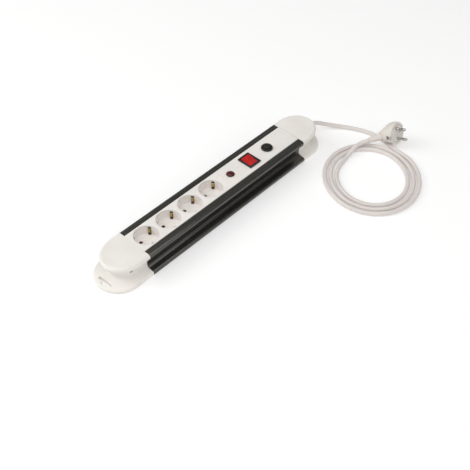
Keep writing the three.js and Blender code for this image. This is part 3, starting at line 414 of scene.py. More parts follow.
class Finish(Enum):
    """The finishes of this object, named as the record's material slots are."""

    BLACK_ALUMINIUM = DrawnMetal(
        shaded(linear(92, 91, 87), 0.9), 0.26, metallic=0.92, lines=(400.0, 1.0, 1.0), line_depth=0.2)
    CAP_WHITE = Moulding(linear(236, 232, 226), 0.42, soft=0.06)
    FACE_WHITE = Moulding(linear(237, 233, 228), 0.3, grain=0.05, soft=0.06)
    SOCKET_WHITE = Moulding(linear(236, 231, 227), 0.28, grain=0.04, soft=0.1)
    CLIP_BRASS = DrawnMetal(linear(205, 180, 118), 0.28, lines=(1.0, 1.0, 40.0))
    BAR_BRASS = DrawnMetal(linear(190, 160, 100), 0.36)
    INSULATOR = Moulding(linear(200, 194, 182), 0.55)
    SWITCH_BLACK = Moulding(linear(30, 29, 28), 0.36, grain=0.18)
    ROCKER_RED = TintedLens(linear(206, 30, 26), 0.24, linear(168, 18, 18))
    LAMP_RED = TintedLens(linear(96, 24, 24), 0.1, linear(70, 18, 20), 0.15)
    BREAKER_BLACK = Moulding(linear(24, 25, 22), 0.4, grain=0.14)
    SCREW_STEEL = DrawnMetal(linear(150, 150, 148), 0.34, lines=(1.0, 1.0, 1.0), line_depth=0.06)
    BOARD_GREEN = Moulding(linear(48, 92, 60), 0.4)
    VARISTOR_BLUE = Moulding(linear(40, 66, 116), 0.3)
    WIRE_BROWN = Moulding(linear(108, 68, 40), 0.42)
    WIRE_BLUE = Moulding(linear(48, 82, 148), 0.42)
    WIRE_EARTH = Moulding(linear(130, 158, 56), 0.42)
    CORD_WHITE = Moulding(linear(222, 215, 211), 0.44, drift=0.03, grain=0.1, soft=0.08)
    PLUG_WHITE = Moulding(linear(222, 216, 209), 0.46, grain=0.16, soft=0.06)
    PIN_NICKEL = DrawnMetal(linear(186, 184, 180), 0.24, lines=(1.0, 12.0, 12.0))

    @property
    def slot(self) -> str:
        """Name of the record's material slot."""
        return self.name.lower()

    def worn_by(self, obj: bpy.types.Object) -> None:
        """Makes this the object's only material; the material is built on its first use."""
        name = f"{self.slot}_finish"
        obj.data.materials.clear()
        obj.data.materials.append(bpy.data.materials.get(name) or self.value.material(name))


# ---------------------------------------------------------------- pieces


class Body(Enum):
    """The moving bodies of the frame."""

    STRIP = "strip"
    ROCKER = "rocker"
    BUTTON = "button"


def in_scene(name: str, data: bpy.types.ID) -> bpy.types.Object:
    """Puts new data into the scene as an object and returns the object."""
    obj = bpy.data.objects.new(name, data)
    bpy.context.scene.collection.objects.link(obj)
    return obj


def evaluated(obj: bpy.types.Object) -> bpy.types.Mesh:
    """A new mesh of an object as it looks with its modifiers or its curve's thickness."""
    return bpy.data.meshes.new_from_object(obj.evaluated_get(bpy.context.evaluated_depsgraph_get()))


def dress(obj: bpy.types.Object, finish: Finish, body: Body, stands_for: Sequence[str]) -> None:
    """Gives a piece its finish and its body, and hides the CAD nodes it stands for.

    Args:
        obj: the piece.
        finish: its finish.
        body: the body it moves with.
        stands_for: CAD nodes that it replaces.
    """
    finish.worn_by(obj)
    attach(obj, body.value)
    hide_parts(*stands_for)
    LOG.info("%s: %s on %s", obj.name, finish.slot, body.value)


class Piece:
    """A Blender object, with the ways in which this strip's pieces are made, cut and dressed."""

    def __init__(self, name: str, bm: bmesh.types.BMesh) -> None:
        """Makes the object from a bmesh, which is used up."""
        bmesh.ops.recalc_face_normals(bm, faces=bm.faces)
        mesh = bpy.data.meshes.new(name)
        bm.to_mesh(mesh)
        bm.free()
        self.obj = in_scene(name, mesh)

    @classmethod
    def skin(cls, name: str, rings: Sequence[Sequence[Vector]]) -> Self:
        """A closed skin through rings of equal point count.

        Args:
            name: name of the object.
            rings: the rings in order, each a list of points.

        Returns:
            The new piece, closed at both ends.
        """
        bm = bmesh.new()
        loops = [[bm.verts.new(p) for p in ring] for ring in rings]
        for low, high in zip(loops, loops[1:]):
            for i in range(len(low)):
                k = (i + 1) % len(low)
                bm.faces.new((low[i], low[k], high[k], high[i]))
        bm.faces.new(list(reversed(loops[0])))
        bm.faces.new(loops[-1])
        return cls(name, bm)

    @classmethod
    def turned(cls, name: str, profile: Sequence[Pair], steps: int = 96, ring: bool = False) -> Self:
        """A body of revolution about Z.

        Args:
            name: name of the object.
            profile: radius and height pairs, from axis to axis, or all round a ring's section.
            steps: segments round the axis.
            ring: whether the profile closes on itself.

        Returns:
            The new piece.
        """
        bm = bmesh.new()
        loops = []
        for radius, height in profile:
            plan = circle(radius, steps=steps) if radius > 1e-7 else [(0.0, 0.0)]
            loops.append([bm.verts.new((u, v, height)) for u, v in plan])
        for low, high in zip(loops, [*loops[1:], loops[0]] if ring else loops[1:]):
            for i in range(steps):
                k = (i + 1) % steps
                corners = [low[i % len(low)], low[k % len(low)], high[k % len(high)], high[i % len(high)]]
                unique = list(dict.fromkeys(corners))
                if len(unique) > 2:
                    bm.faces.new(unique)
        return cls(name, bm)

    @classmethod
    def rod(cls, name: str, radius: float, low: float, high: float, steps: int = 48) -> Self:
        """A plain round rod along Z, by its radius and its ends."""
        return cls.turned(name, [(0, low), (radius, low), (radius, high), (0, high)], steps)

    @classmethod
    def plate(
        cls, name: str, outline: Sequence[Pair], low: float, high: float,
        holes: Sequence[Sequence[Pair]] = (), edge: float = 0.3 * MM, edge_steps: int = 3,
    ) -> Self:
        """A flat piece with rounded rims.

        Args:
            name: name of the object.
            outline: its plan.
            low: lower face.
            high: upper face.
            holes: plans of the openings through it.
            edge: radius of all its rims, or 0 for sharp ones.
            edge_steps: how finely the rims are rounded.

        Returns:
            The new piece.
        """
        curve = bpy.data.curves.new(f"{name}_plan", "CURVE")
        curve.dimensions, curve.fill_mode = "2D", "BOTH"
        for loop in (outline, *holes):
            spline = curve.splines.new("POLY")
            spline.points.add(len(loop) - 1)
            for point, (u, v) in zip(spline.points, loop):
                point.co = (u, v, 0, 1)
            spline.use_cyclic_u = True
        curve.extrude = (high - low) / 2 - edge
        curve.bevel_depth, curve.offset, curve.bevel_resolution = edge, -edge, edge_steps
        drawn = in_scene(f"{name}_plan", curve)
        mesh = evaluated(drawn)
        bpy.data.objects.remove(drawn)
        bpy.data.curves.remove(curve)
        bm = bmesh.new()
        bm.from_mesh(mesh)
        bpy.data.meshes.remove(mesh)
        bmesh.ops.remove_doubles(bm, verts=bm.verts, dist=2e-6)
        bmesh.ops.translate(bm, verts=bm.verts, vec=(0, 0, (low + high) / 2))
        return cls(name, bm)

    def applied(self) -> Self:
        """Applies the piece's modifiers and returns it."""
        mesh, old = evaluated(self.obj), self.obj.data
        self.obj.modifiers.clear()
        self.obj.data = mesh
        bpy.data.meshes.remove(old)
        mesh.name = self.obj.name
        return self

    def combined(self, operation: str, tools: Sequence[Self]) -> Self:
        """Combines the piece with closed ones, which are used up, and returns it."""
        for tool in tools:
            step = self.obj.modifiers.new("combine", "BOOLEAN")
            step.operation, step.solver, step.object = operation, "EXACT", tool.obj
            self.applied()
            bpy.data.objects.remove(tool.obj)
        return self

    def cut(self, *tools: Self) -> Self:
        """Cuts closed pieces out of this one and returns it."""
        return self.combined("DIFFERENCE", tools)

    def join(self, *tools: Self) -> Self:
        """Joins closed pieces to this one and returns it."""
        return self.combined("UNION", tools)

    def moved(self, place: Matrix) -> Self:
        """Moves the piece's mesh by a matrix and returns the piece."""
        self.obj.data.transform(place)
        return self

    def dressed(self, finish: Finish, *stands_for: str, body: Body = Body.STRIP, smooth: float = 32.0) -> Self:
        """Finishes the piece.

        Args:
            finish: its finish.
            *stands_for: CAD nodes that it replaces.
            body: the body it moves with.
            smooth: edge angle in degrees up to which it is shaded smooth.

        Returns:
            The piece.
        """
        self.obj.data.shade_smooth()
        self.obj.data.set_sharp_from_angle(angle=math.radians(smooth))
        dress(self.obj, finish, body, stands_for)
        return self


# ---------------------------------------------------------------- studio


@dataclass(frozen=True)
class SoftLight:
    """A square soft light: where it hangs, the side of its square and its watts."""

    name: str
    place: Triple
    size: float
    power: float


@dataclass
class Studio:
    """Camera, floor and soft light.

    Attributes:
        eye: where the camera stands.
        heading: degrees from +X towards +Y that the camera looks.
        dip: degrees that it looks down.
        lens: focal length for a 36 mm sensor, in millimetres.
        target: what the lights point at.
    """

    eye: Triple = (-0.65705, -0.6592, 0.9135)
    heading: float = 43.06
    dip: float = 46.68
    lens: float = 61.38
    floor_side: float = 9.0
    target: Triple = (0.05, 0.0, 0.0)
    room_strength: float = 0.35
    lights: tuple[SoftLight, ...] = (
        SoftLight("overhead", (-0.9, -0.4, 3.0), 3.4, 50.0), SoftLight("key", (-1.9, 2.1, 2.0), 1.9, 42.0),
        SoftLight("front", (-0.3, -2.3, 2.0), 2.2, 14.0))

    def build(self) -> None:
        """Makes the camera, the floor and the lights."""
        self.camera()
        self.floor()
        for light in self.lights:
            self.light(light)
        world = bpy.data.worlds.new("soft_room")
        world.use_nodes = True
        room = world.node_tree.nodes["Background"].inputs
        room["Color"].default_value = (1.0, 0.995, 0.985, 1.0)
        room["Strength"].default_value = self.room_strength
        bpy.context.scene.world = world
        bpy.context.scene.view_settings.view_transform = "Standard"

    def aim(self, obj: bpy.types.Object, place: Triple, look: Vector) -> None:
        """Stands a camera or light at a place, looking along a direction."""
        obj.matrix_world = shift(*place) @ look.to_track_quat("-Z", "Y").to_matrix().to_4x4()

    def camera(self) -> None:
        """Makes the camera."""
        data = bpy.data.cameras.new("camera")
        data.lens, data.sensor_width, data.clip_start = self.lens, 36.0, 0.01
        heading, dip = math.radians(self.heading), math.radians(self.dip)
        flat = math.cos(dip)
        look = Vector((math.cos(heading) * flat, math.sin(heading) * flat, -math.sin(dip)))
        obj = in_scene("camera", data)
        self.aim(obj, self.eye, look)
        bpy.context.scene.camera = obj

    def floor(self) -> None:
        """Makes the plain pale floor."""
        half = self.floor_side / 2
        bm = bmesh.new()
        corners = ((-half, -half), (half, -half), (half, half), (-half, half))
        bm.faces.new([bm.verts.new((x, y, 0)) for x, y in corners])
        graph = Graph("pale_floor")
        graph.shade(
            Base_Color=graph.blended(graph.noise(0.5, 2), (0.8, 0.8, 0.8, 1), (0.82, 0.82, 0.82, 1)),
            Roughness=0.8, Emission_Color=(1.0, 1.0, 1.0, 1.0), Emission_Strength=0.24)
        floor = Piece("floor", bm).obj
        floor.data.materials.append(graph.material)

    def light(self, light: SoftLight) -> None:
        """Makes one soft light."""
        data = bpy.data.lights.new(light.name, "AREA")
        data.shape, data.size, data.energy = "SQUARE", light.size, light.power
        self.aim(in_scene(light.name, data), light.place, Vector(self.target) - Vector(light.place))


# ---------------------------------------------------------------- plug place, cord


@dataclass(frozen=True)
class PlugSizes:
    """The plug's own sizes and how it lies.

    Attributes:
        face: middle of its front.
        tilt: how far the pins point up.
        exit_angle: angle of the cord to the plug's front.
        depth: where the cord's line meets the plug's own axis, behind the front.
        relief_start: start of the strain relief along the cord's line.
        relief_end: its end.
    """

    face: Vector
    tilt: float = math.radians(20)
    exit_angle: float = math.radians(32)
    depth: float = 11.0 * MM
    radius: float = 19.5 * MM
    relief_start: float = 21.0 * MM
    relief_end: float = 44.0 * MM
    pin_spacing: float = 19.0 * MM
    pin_radius: float = 2.4 * MM
    pin_length: float = 19.0 * MM
    insert_radius: float = 14.5 * MM
    insert_depth: float = 3.6 * MM

    def place(self) -> Matrix:
        """Plug frame: Z out of the front along the pins, X between them, Y away from the cord."""
        up, out = math.sin(self.tilt), math.cos(self.tilt)
        return shift(*self.face) @ Matrix(((0, 1, 0), (-up, 0, -out), (-out, 0, up))).to_4x4()

    def cord_axis(self) -> Vector:
        """Direction of the cord away from the plug, in the plug frame."""
        return Vector((0, -math.cos(self.exit_angle), -math.sin(self.exit_angle)))

    def on_axis(self, distance: float) -> Vector:
        """A point on the cord's line in the plug frame."""
        return Vector((0, 0, -self.depth)) + self.cord_axis() * distance


@dataclass
class MainsCord:
    """The mains cord: down from the cap, three loose turns inwards, and up over them to the plug.

    Attributes:
        origin: X of the profile's cord end, from which the route is given.
        plug: the plug it ends in.
        rest: height of the cord's middle where it lies on the floor.
        coil_shrink: how much a turn's radius shrinks for each radian.
        coil_phase: degrees at which the turns' angle is counted from.
        coil_start: degrees wound at the coil's first point.
        coil_end: degrees wound at its last.
    """

    origin: float
    plug: PlugSizes
    radius: float = 3.75 * MM
    rest: float = 3.9 * MM
    coil_centre: Pair = (41.0 * MM, -148.3 * MM)
    coil_radius: float = 86.9 * MM
    coil_shrink: float = 1.546 * MM
    coil_oval: float = 4.0 * MM
    coil_phase: float = 20.7
    coil_start: float = 10.7
    coil_end: float = 968.0
    points_per_turn: int = 14
    length: float = 1.509

    def knots(self) -> list[Vector]:
        """The route's chosen points, with the coil's turns worked out.

        Returns:
            The points in the frame, from the gland to the plug's strain relief.
        """
        low = self.rest / MM
        from_cap = [
            (64.3, 0, 21.5), (67.5, 0, 21.4), (73, -1.2, 20.1), (79, -3.7, 17.8), (86, -7.8, 14.4),
            (95, -14.2, 10.5), (104, -21.8, 7), (113, -31.4, 4.6), (120.5, -43, low), (127, -57, low),
            (132, -72, low), (134.5, -87, low), (134.3, -102, low), (132, -117, low),
        ]
        to_plug = [
            (14, -99, low), (28, -93.2, low), (42, -90.2, low), (54, -88.4, 4.6), (64, -87.6, 7.8),
            (72, -87.4, 11), (80, -88, 12.6), (88, -89.6, 13.3),
        ]
        count = round((self.coil_end - self.coil_start) / 360 * self.points_per_turn)
        coil = []
        for i in range(count + 1):
            wound = math.radians(self.coil_start + (self.coil_end - self.coil_start) * i / count)
            angle = math.radians(self.coil_phase) - wound
            reach = self.coil_radius - self.coil_shrink * wound + self.coil_oval * math.sin(2 * angle)
            x, y = self.coil_centre[0] + reach * math.cos(angle), self.coil_centre[1] + reach * math.sin(angle)
            coil.append(Vector((x, y, self.rest)))
        start, end = ([Vector(p) * MM for p in run] for run in (from_cap, to_plug))
        route = [p + Vector((self.origin, 0, 0)) for p in (*start, *coil, *end)]
        for back in (8.0 * MM, GAP):
            route.append(self.plug.place() @ self.plug.on_axis(self.plug.relief_end + back))
        return route

    def build(self, pieces: Sequence[Piece]) -> None:
        """Makes the cord; the plug's and the gland's pieces that it is given are not used."""
        knots = self.knots()
        curve = bpy.data.curves.new("cord_sheath_outer", "CURVE")
        curve.dimensions = "3D"
        spline = curve.splines.new("POLY")
        run = through(knots, 10)
        spline.points.add(len(run) - 1)
        for point, spot in zip(spline.points, run):
            point.co = (*spot, 1)
        spline.use_smooth = True
        curve.bevel_depth, curve.bevel_resolution, curve.use_fill_caps = self.radius, 5, True
        cord = in_scene("cord_sheath_outer", curve)
        dress(cord, Finish.CORD_WHITE, Body.STRIP, ["mains_cord"])


# ---------------------------------------------------------------- profile and face


@dataclass
class AluminiumProfile:
    """The extruded channel: rails, narrow webs, foot flanges and their chambers."""

    sizes: StripSizes
    rib: float = 0.35 * MM
    groove: float = 0.35 * MM

    def build(self) -> None:
        """Makes the profile, drawn out between its two ends."""
        s = self.sizes
        inner, lip_foot, top = s.web_half - s.web_wall, s.height - s.rail_lip, s.height
        sunk = self.groove / MM
        outer = [
            *s.section(self.rib),
            *mm((-3.4, 0), (-3.7, -sunk), (-4.3, -sunk), (-4.6, 0), at=(s.rail_half, top)),
            *mm((0.5, 0), (0, -0.5), at=(s.face_half, top)), (s.face_half, lip_foot), (inner, lip_foot),
            (inner, s.floor_wall)]
        holes = [
            filleted([(side * u, v) for u, v in chamber], corner, 3)
            for side in (1, -1)
            for chamber, corner in ((self.rail_chamber(lip_foot), 0.6 * MM), (self.foot_chamber(), 0.5 * MM))]
        piece = Piece.plate(
            "profile_extrusion", mirrored(outer), s.start, s.end, holes, edge=0.06 * MM, edge_steps=1)
        piece.moved(along_x()).dressed(Finish.BLACK_ALUMINIUM, "aluminium_profile", smooth=24)

    def rail_chamber(self, lip_foot: float) -> list[Pair]:
        """Outline of the hollow inside a rail, by the height of the rail's lip."""
        edge, top = self.sizes.face_half + 1.7 * MM, self.sizes.height - 1.8 * MM
        return [
            (edge, top), (31.6 * MM, top),
            *mm((33, 36.2), (32.2, 33.5), (30.8, 31.2), (27.8, 28.3), (25.5, 25.8)),
            (25.5 * MM, lip_foot - 1.4 * MM), (edge, lip_foot + 0.4 * MM)]

    def foot_chamber(self) -> list[Pair]:
        """Outline of the hollow inside a foot flange."""
        floor = self.sizes.floor_wall
        return [(27.6 * MM, floor), (36.6 * MM, floor), *mm((36.8, 4.4), (32, 5.2), (28, 6.1), (27.2, 6.2))]


@dataclass
class FacePlate:
    """The white socket face: a bowed plate with its openings, on two snap skirts."""

    sizes: StripSizes
    socket_radius: float = 19.8 * MM
    lamp_hole: float = 5.9 * MM
    breaker_hole: float = 8.1 * MM
    switch_hole: Pair = (22.4 * MM, 27.6 * MM)
    rim: float = 0.55 * MM
    skirt_depth: float = 9.5 * MM
    skirt_wall: float = 1.25 * MM
    catch: float = 0.9 * MM

    def plan(self, half: float, margin: float) -> list[Pair]:
        """Plan of the face with its bowed ends, for a half width and a margin past the profile."""
        s = self.sizes
        bends = 16
        outline = []
        for x, side in ((s.end + margin, 1), (s.start - margin, -1)):
            for t in (side * (2 * i / bends - 1) for i in range(bends + 1)):
                outline.append((x + side * s.face_bow * (1 - t * t), t * half))
        return outline

    def build(self) -> None:
        """Makes the face plate with its skirts joined on."""
        s = self.sizes
        outer, under = s.face_half - GAP, s.face_top - s.face_wall
        holes = [circle(self.socket_radius, (middle_of(f"socket_well_{i}"), 0), 128) for i in range(1, 5)]
        holes.append(circle(self.lamp_hole, (middle_of("lamp_lens"), 0), 64))
        holes.append(circle(self.breaker_hole, (middle_of("breaker_button"), 0), 64))
        holes.append(rectangle(*self.switch_hole, 0.6 * MM, (middle_of("switch_housing"), 0)))
        face = Piece.plate(
            "socket_face", self.plan(outer, 0), under, s.face_top, holes, edge=self.rim, edge_steps=4)
        foot, lip = s.height - self.skirt_depth, s.height - s.rail_lip - GAP
        inner, hook, root = outer - self.skirt_wall, outer + self.catch, under + 0.9 * MM
        skirt = filleted(
            [(inner, foot), (outer, foot), (hook, foot + 1.2 * MM), (hook, lip), (outer, lip), (outer, root),
             (inner, root)], 0.15 * MM, 2)
        face.join(*(
            Piece.plate("skirt", [(side * u, v) for u, v in skirt], s.start, s.end, edge=0.0).moved(along_x())
            for side in (1, -1))).dressed(Finish.FACE_WHITE, "face_plate")


# ---------------------------------------------------------------- sockets


@dataclass
class EarthedSocket:
    """One socket: a round well with guide ribs and pin holes, and the sprung earth clip through it.

    Attributes:
        number: which socket, from the hanger end.
        turn: angle of the earth clip from the strip's length, in degrees.
    """

    number: int
    turn: float = 35.0
    radius: float = 19.8 * MM
    wall: float = 0.9 * MM
    depth: float = 17.5 * MM
    floor: float = 1.8 * MM
    pin_offset: float = 9.5 * MM
    pin_hole: float = 2.9 * MM
    pin_mouth: float = 0.75 * MM
    clip_width: float = 4.0 * MM
    clip_sheet: float = 0.8 * MM

    def build(self, face_top: float, rim: float) -> None:
        """Makes the well and the clip, for the heights of the socket face and the well's rim."""
        node = f"socket_well_{self.number}"
        place = shift(middle_of(node)) @ turn(self.turn, "Z")
        base = face_top - self.depth
        self.well(base, rim).moved(place).dressed(Finish.SOCKET_WHITE, node, smooth=30)
        clip = self.clip(base - self.floor).moved(place)
        clip.dressed(Finish.CLIP_BRASS, f"earth_clip_{self.number}", smooth=40)

    def well(self, base: float, rim: float) -> Piece:
        """The well with the clip's axis along X, for the heights of its floor and its rim."""
        outer, under = self.radius + self.wall, base - self.floor
        cup = filleted(
            [(0, under), (outer, under), (outer, rim), (self.radius, rim), (self.radius, base), (0, base)],
            0.9 * MM, 5, closed=False)
        ribs, tools = [], []
        hole, mouth = self.pin_hole, self.pin_hole + self.pin_mouth
        bore = [
            (0, under - MM), (hole, under - MM), (hole, base - 0.5 * MM), (mouth, base + 0.25 * MM),
            (mouth, base + MM), (0, base + MM)]
        for side in (-1, 1):
            rib = rectangle(5 * MM, 3 * MM, 0.5 * MM, (0, side * (self.radius - 0.8 * MM)))
            ribs.append(Piece.plate("rib", rib, base - 0.5 * MM, rim - 1.4 * MM, edge=0.35 * MM))
            tools.append(Piece.turned("pin_bore", bore, 48).moved(shift(0, side * self.pin_offset)))
            slot = rectangle(4.6 * MM, self.clip_width + 1.2 * MM, 0.4 * MM, (side * 19.4 * MM, 0))
            tools.append(Piece.plate("clip_slot", slot, under - MM, rim - 0.5 * MM, edge=0.0))
        return Piece.turned(f"well_{self.number}", cup, 128).join(*ribs).cut(*tools)

    def clip(self, under: float) -> Piece:
        """The earth clip along X, for the height of the well's underside."""
        foot = under / MM
        arm = [
            (18.4, foot - 2.2), (19.4, foot - 1.6), (19.6, foot - 0.2), (19.6, 25.4), (18.4, 27.6),
            (17.1, 29.6), (16.9, 31.0), (17.6, 32.8), (19.0, 34.4)]
        halves = [Vector((-r, z)) for r, z in reversed(arm)], [Vector(p) for p in arm]
        run = [p * MM for half in halves for p in through(half, 5)]
        sides: list[list[Pair]] = [[], []]
        for i, point in enumerate(run):
            along = (run[min(i + 1, len(run) - 1)] - run[max(i - 1, 0)]).normalized()
            off = Vector((-along.y, along.x)) * self.clip_sheet / 2
            sides[0].append(tuple(point - off))
            sides[1].append(tuple(point + off))
        half, outline = self.clip_width / 2, [*sides[0], *reversed(sides[1])]
        sheet = Piece.plate(f"clip_{self.number}", outline, -half, half, edge=0.15 * MM, edge_steps=2)
        return sheet.moved(turn(90, "X"))


# ---------------------------------------------------------------- lamp, switch and breaker


@dataclass
class IndicatorLamp:
    """The lamp's domed lens with its flat rim."""

    radius: float = 7.0 * MM
    rise: float = 3.6 * MM
    rim: float = 1.1 * MM
    rim_height: float = 1.15 * MM

    def build(self, foot: float) -> None:
        """Makes the lens, for the height of its seat."""
        rim, rise = self.radius - self.rim, self.rise - self.rim_height
        dome = [
            (rim * math.cos(a), foot + self.rim_height + rise * math.sin(a))
            for a in (math.radians(90 * i / 14) for i in range(14))]
        profile = [
            (0, foot), *mm((-0.2, 0), (0, 0.2), (0, 0.9), (-0.35, 1.25), at=(self.radius, foot)),
            (rim + 0.25 * MM, foot + 1.25 * MM), *dome, (0, foot + self.rise)]
        lens = Piece.turned("lamp_dome", profile, 80).moved(shift(middle_of("lamp_lens")))
        lens.dressed(Finish.LAMP_RED, "lamp_lens", smooth=35)


@dataclass
class RockerSwitch:
    """The mains switch: a black bezel and housing, and the red rocker in it.

    Attributes:
        bezel: sides of the bezel.
        body: sides of the housing below it.
        key: sides of the rocker.
        tilt: degrees that the rocker leans at rest, its +Y end up.
        pivot: depth of the rocker's axis below the bezel's top.
    """

    bezel: Pair = (25.2 * MM, 29.8 * MM)
    body: Pair = (21.8 * MM, 27.0 * MM)
    key: Pair = (18.4 * MM, 21.2 * MM)
    tilt: float = 8.0
    pivot: float = 4.2 * MM
    rise: float = 2.0 * MM
    valley: float = 3.1 * MM
    trunnion: float = 1.3 * MM
    bearing: float = 1.6 * MM
    bearing_reach: float = 10.7 * MM

    def build(self, seat: float) -> None:
        """Makes the housing and the rocker, for the height at which the bezel sits."""
        foot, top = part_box("switch_housing")[0].z, seat + self.rise
        room = rectangle(self.key[0] + 0.6 * MM, self.key[1] + 2 * MM, 0.7 * MM)
        shell = Piece.plate(
            "shell", rectangle(*self.body, 0.8 * MM), foot, top - 0.7 * MM, edge=0.2 * MM)
        shell.cut(Piece.plate("room", room, foot + 2 * MM, top, edge=0.0))
        housing = Piece.plate(
            "switch_bezel", rectangle(*self.bezel, 1.5 * MM), seat, top, [room], edge=0.55 * MM, edge_steps=4)
        housing.join(shell)
        bearing = Piece.rod("bearing", self.bearing, -self.bearing_reach, self.bearing_reach, 32)
        housing.cut(bearing.moved(shift(z=top - self.pivot) @ turn(90, "Y")))
        x = middle_of("switch_housing")
        housing.moved(shift(x)).dressed(Finish.SWITCH_BLACK, "switch_housing")
        rocker = self.rocker().moved(shift(x, z=top - self.pivot) @ turn(self.tilt, "X"))
        rocker.dressed(Finish.ROCKER_RED, "switch_rocker", body=Body.ROCKER, smooth=28)

    def rocker(self) -> Piece:
        """The rocker about its own axis, level, with its two halves meeting in a hollow."""
        half_x, half_y = self.key[0] / 2, self.key[1] / 2
        rise = half_y * math.tan(math.radians(self.tilt))
        end = self.valley + rise
        dish = [
            (half_y * t, self.valley + rise * t**1.35) for t in (0.94, 0.85, 0.7, 0.55, 0.4, 0.25, 0.1, 0.0)]
        section = [
            *mm((2.5, -9), (5.5, -5)), *mm((-0.6, -2), (0, -1.2), at=(half_y, 0)),
            *mm((0, -0.9), (-0.25, -0.3), at=(half_y, end)), *dish]
        key = Piece.plate("rocker_key", mirrored(section), -half_x, half_x, edge=0.4 * MM, edge_steps=4)
        reach = half_x + 0.9 * MM
        pins = Piece.rod("trunnions", self.trunnion, -reach, reach, 32)
        return key.moved(along_x()).join(pins.moved(turn(90, "Y")))


@dataclass
class ResetBreaker:
    """The reset breaker: its case and neck, the ring on the face, and the button.

    Attributes:
        collar: radius of the ring.
        neck: radius of the neck.
        button: radius of the button.
        case: sides of the case below the face.
        case_drop: depth of the case's top below the ring's seat.
    """

    collar: float = 9.9 * MM
    collar_rise: float = 2.8 * MM
    neck: float = 7.8 * MM
    button: float = 5.7 * MM
    case: Pair = (14.0 * MM, 26.0 * MM)
    case_drop: float = 7.5 * MM + 2 * GAP

    def build(self, seat: float) -> None:
        """Makes the ring, the body and the button, for the height at which the ring sits."""
        place = shift(middle_of("breaker_button"))
        foot, brim = (corner.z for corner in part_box("breaker_body"))
        low, top = (corner.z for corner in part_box("breaker_button"))
        bore, well, case_top = self.neck + GAP, self.button + GAP, seat - self.case_drop
        ring = Piece.turned("breaker_ring", filleted([
            (bore, seat), (self.collar, seat), *mm((0, 1.7), (-0.8, 2.8), at=(self.collar, seat)),
            (bore, seat + self.collar_rise)], 0.35 * MM, 4), 96, ring=True)
        neck = Piece.turned("neck", filleted([
            (0, case_top - MM), (self.neck, case_top - MM), (self.neck, brim), (well, brim),
            (well, case_top - 0.9 * MM), (0, case_top - 0.9 * MM)], 0.3 * MM, 3, closed=False), 96)
        case = Piece.plate("breaker_case", rectangle(*self.case, MM), foot, case_top, edge=0.4 * MM)
        case.cut(Piece.rod("well", well, case_top - 4 * MM, case_top + MM)).join(neck)
        case.cut(Piece.rod("bore", well, case_top - 4 * MM, brim + MM, 96))
        button = Piece.turned("breaker_cap", [
            (0, low), (self.button, low),
            *mm((0, -1.3), (-0.15, -0.75), (-0.55, -0.25), (-1.1, 0), (-1.7, -0.1), at=(self.button, top)),
            *mm((2.4, -0.5), (0, -0.6), at=(0, top))], 96)
        for piece, node, body in (
                (ring, "breaker_collar", Body.STRIP), (case, "breaker_body", Body.STRIP),
                (button, "breaker_button", Body.BUTTON)):
            piece.moved(place).dressed(Finish.BREAKER_BLACK, node, body=body)


# ---------------------------------------------------------------- end caps


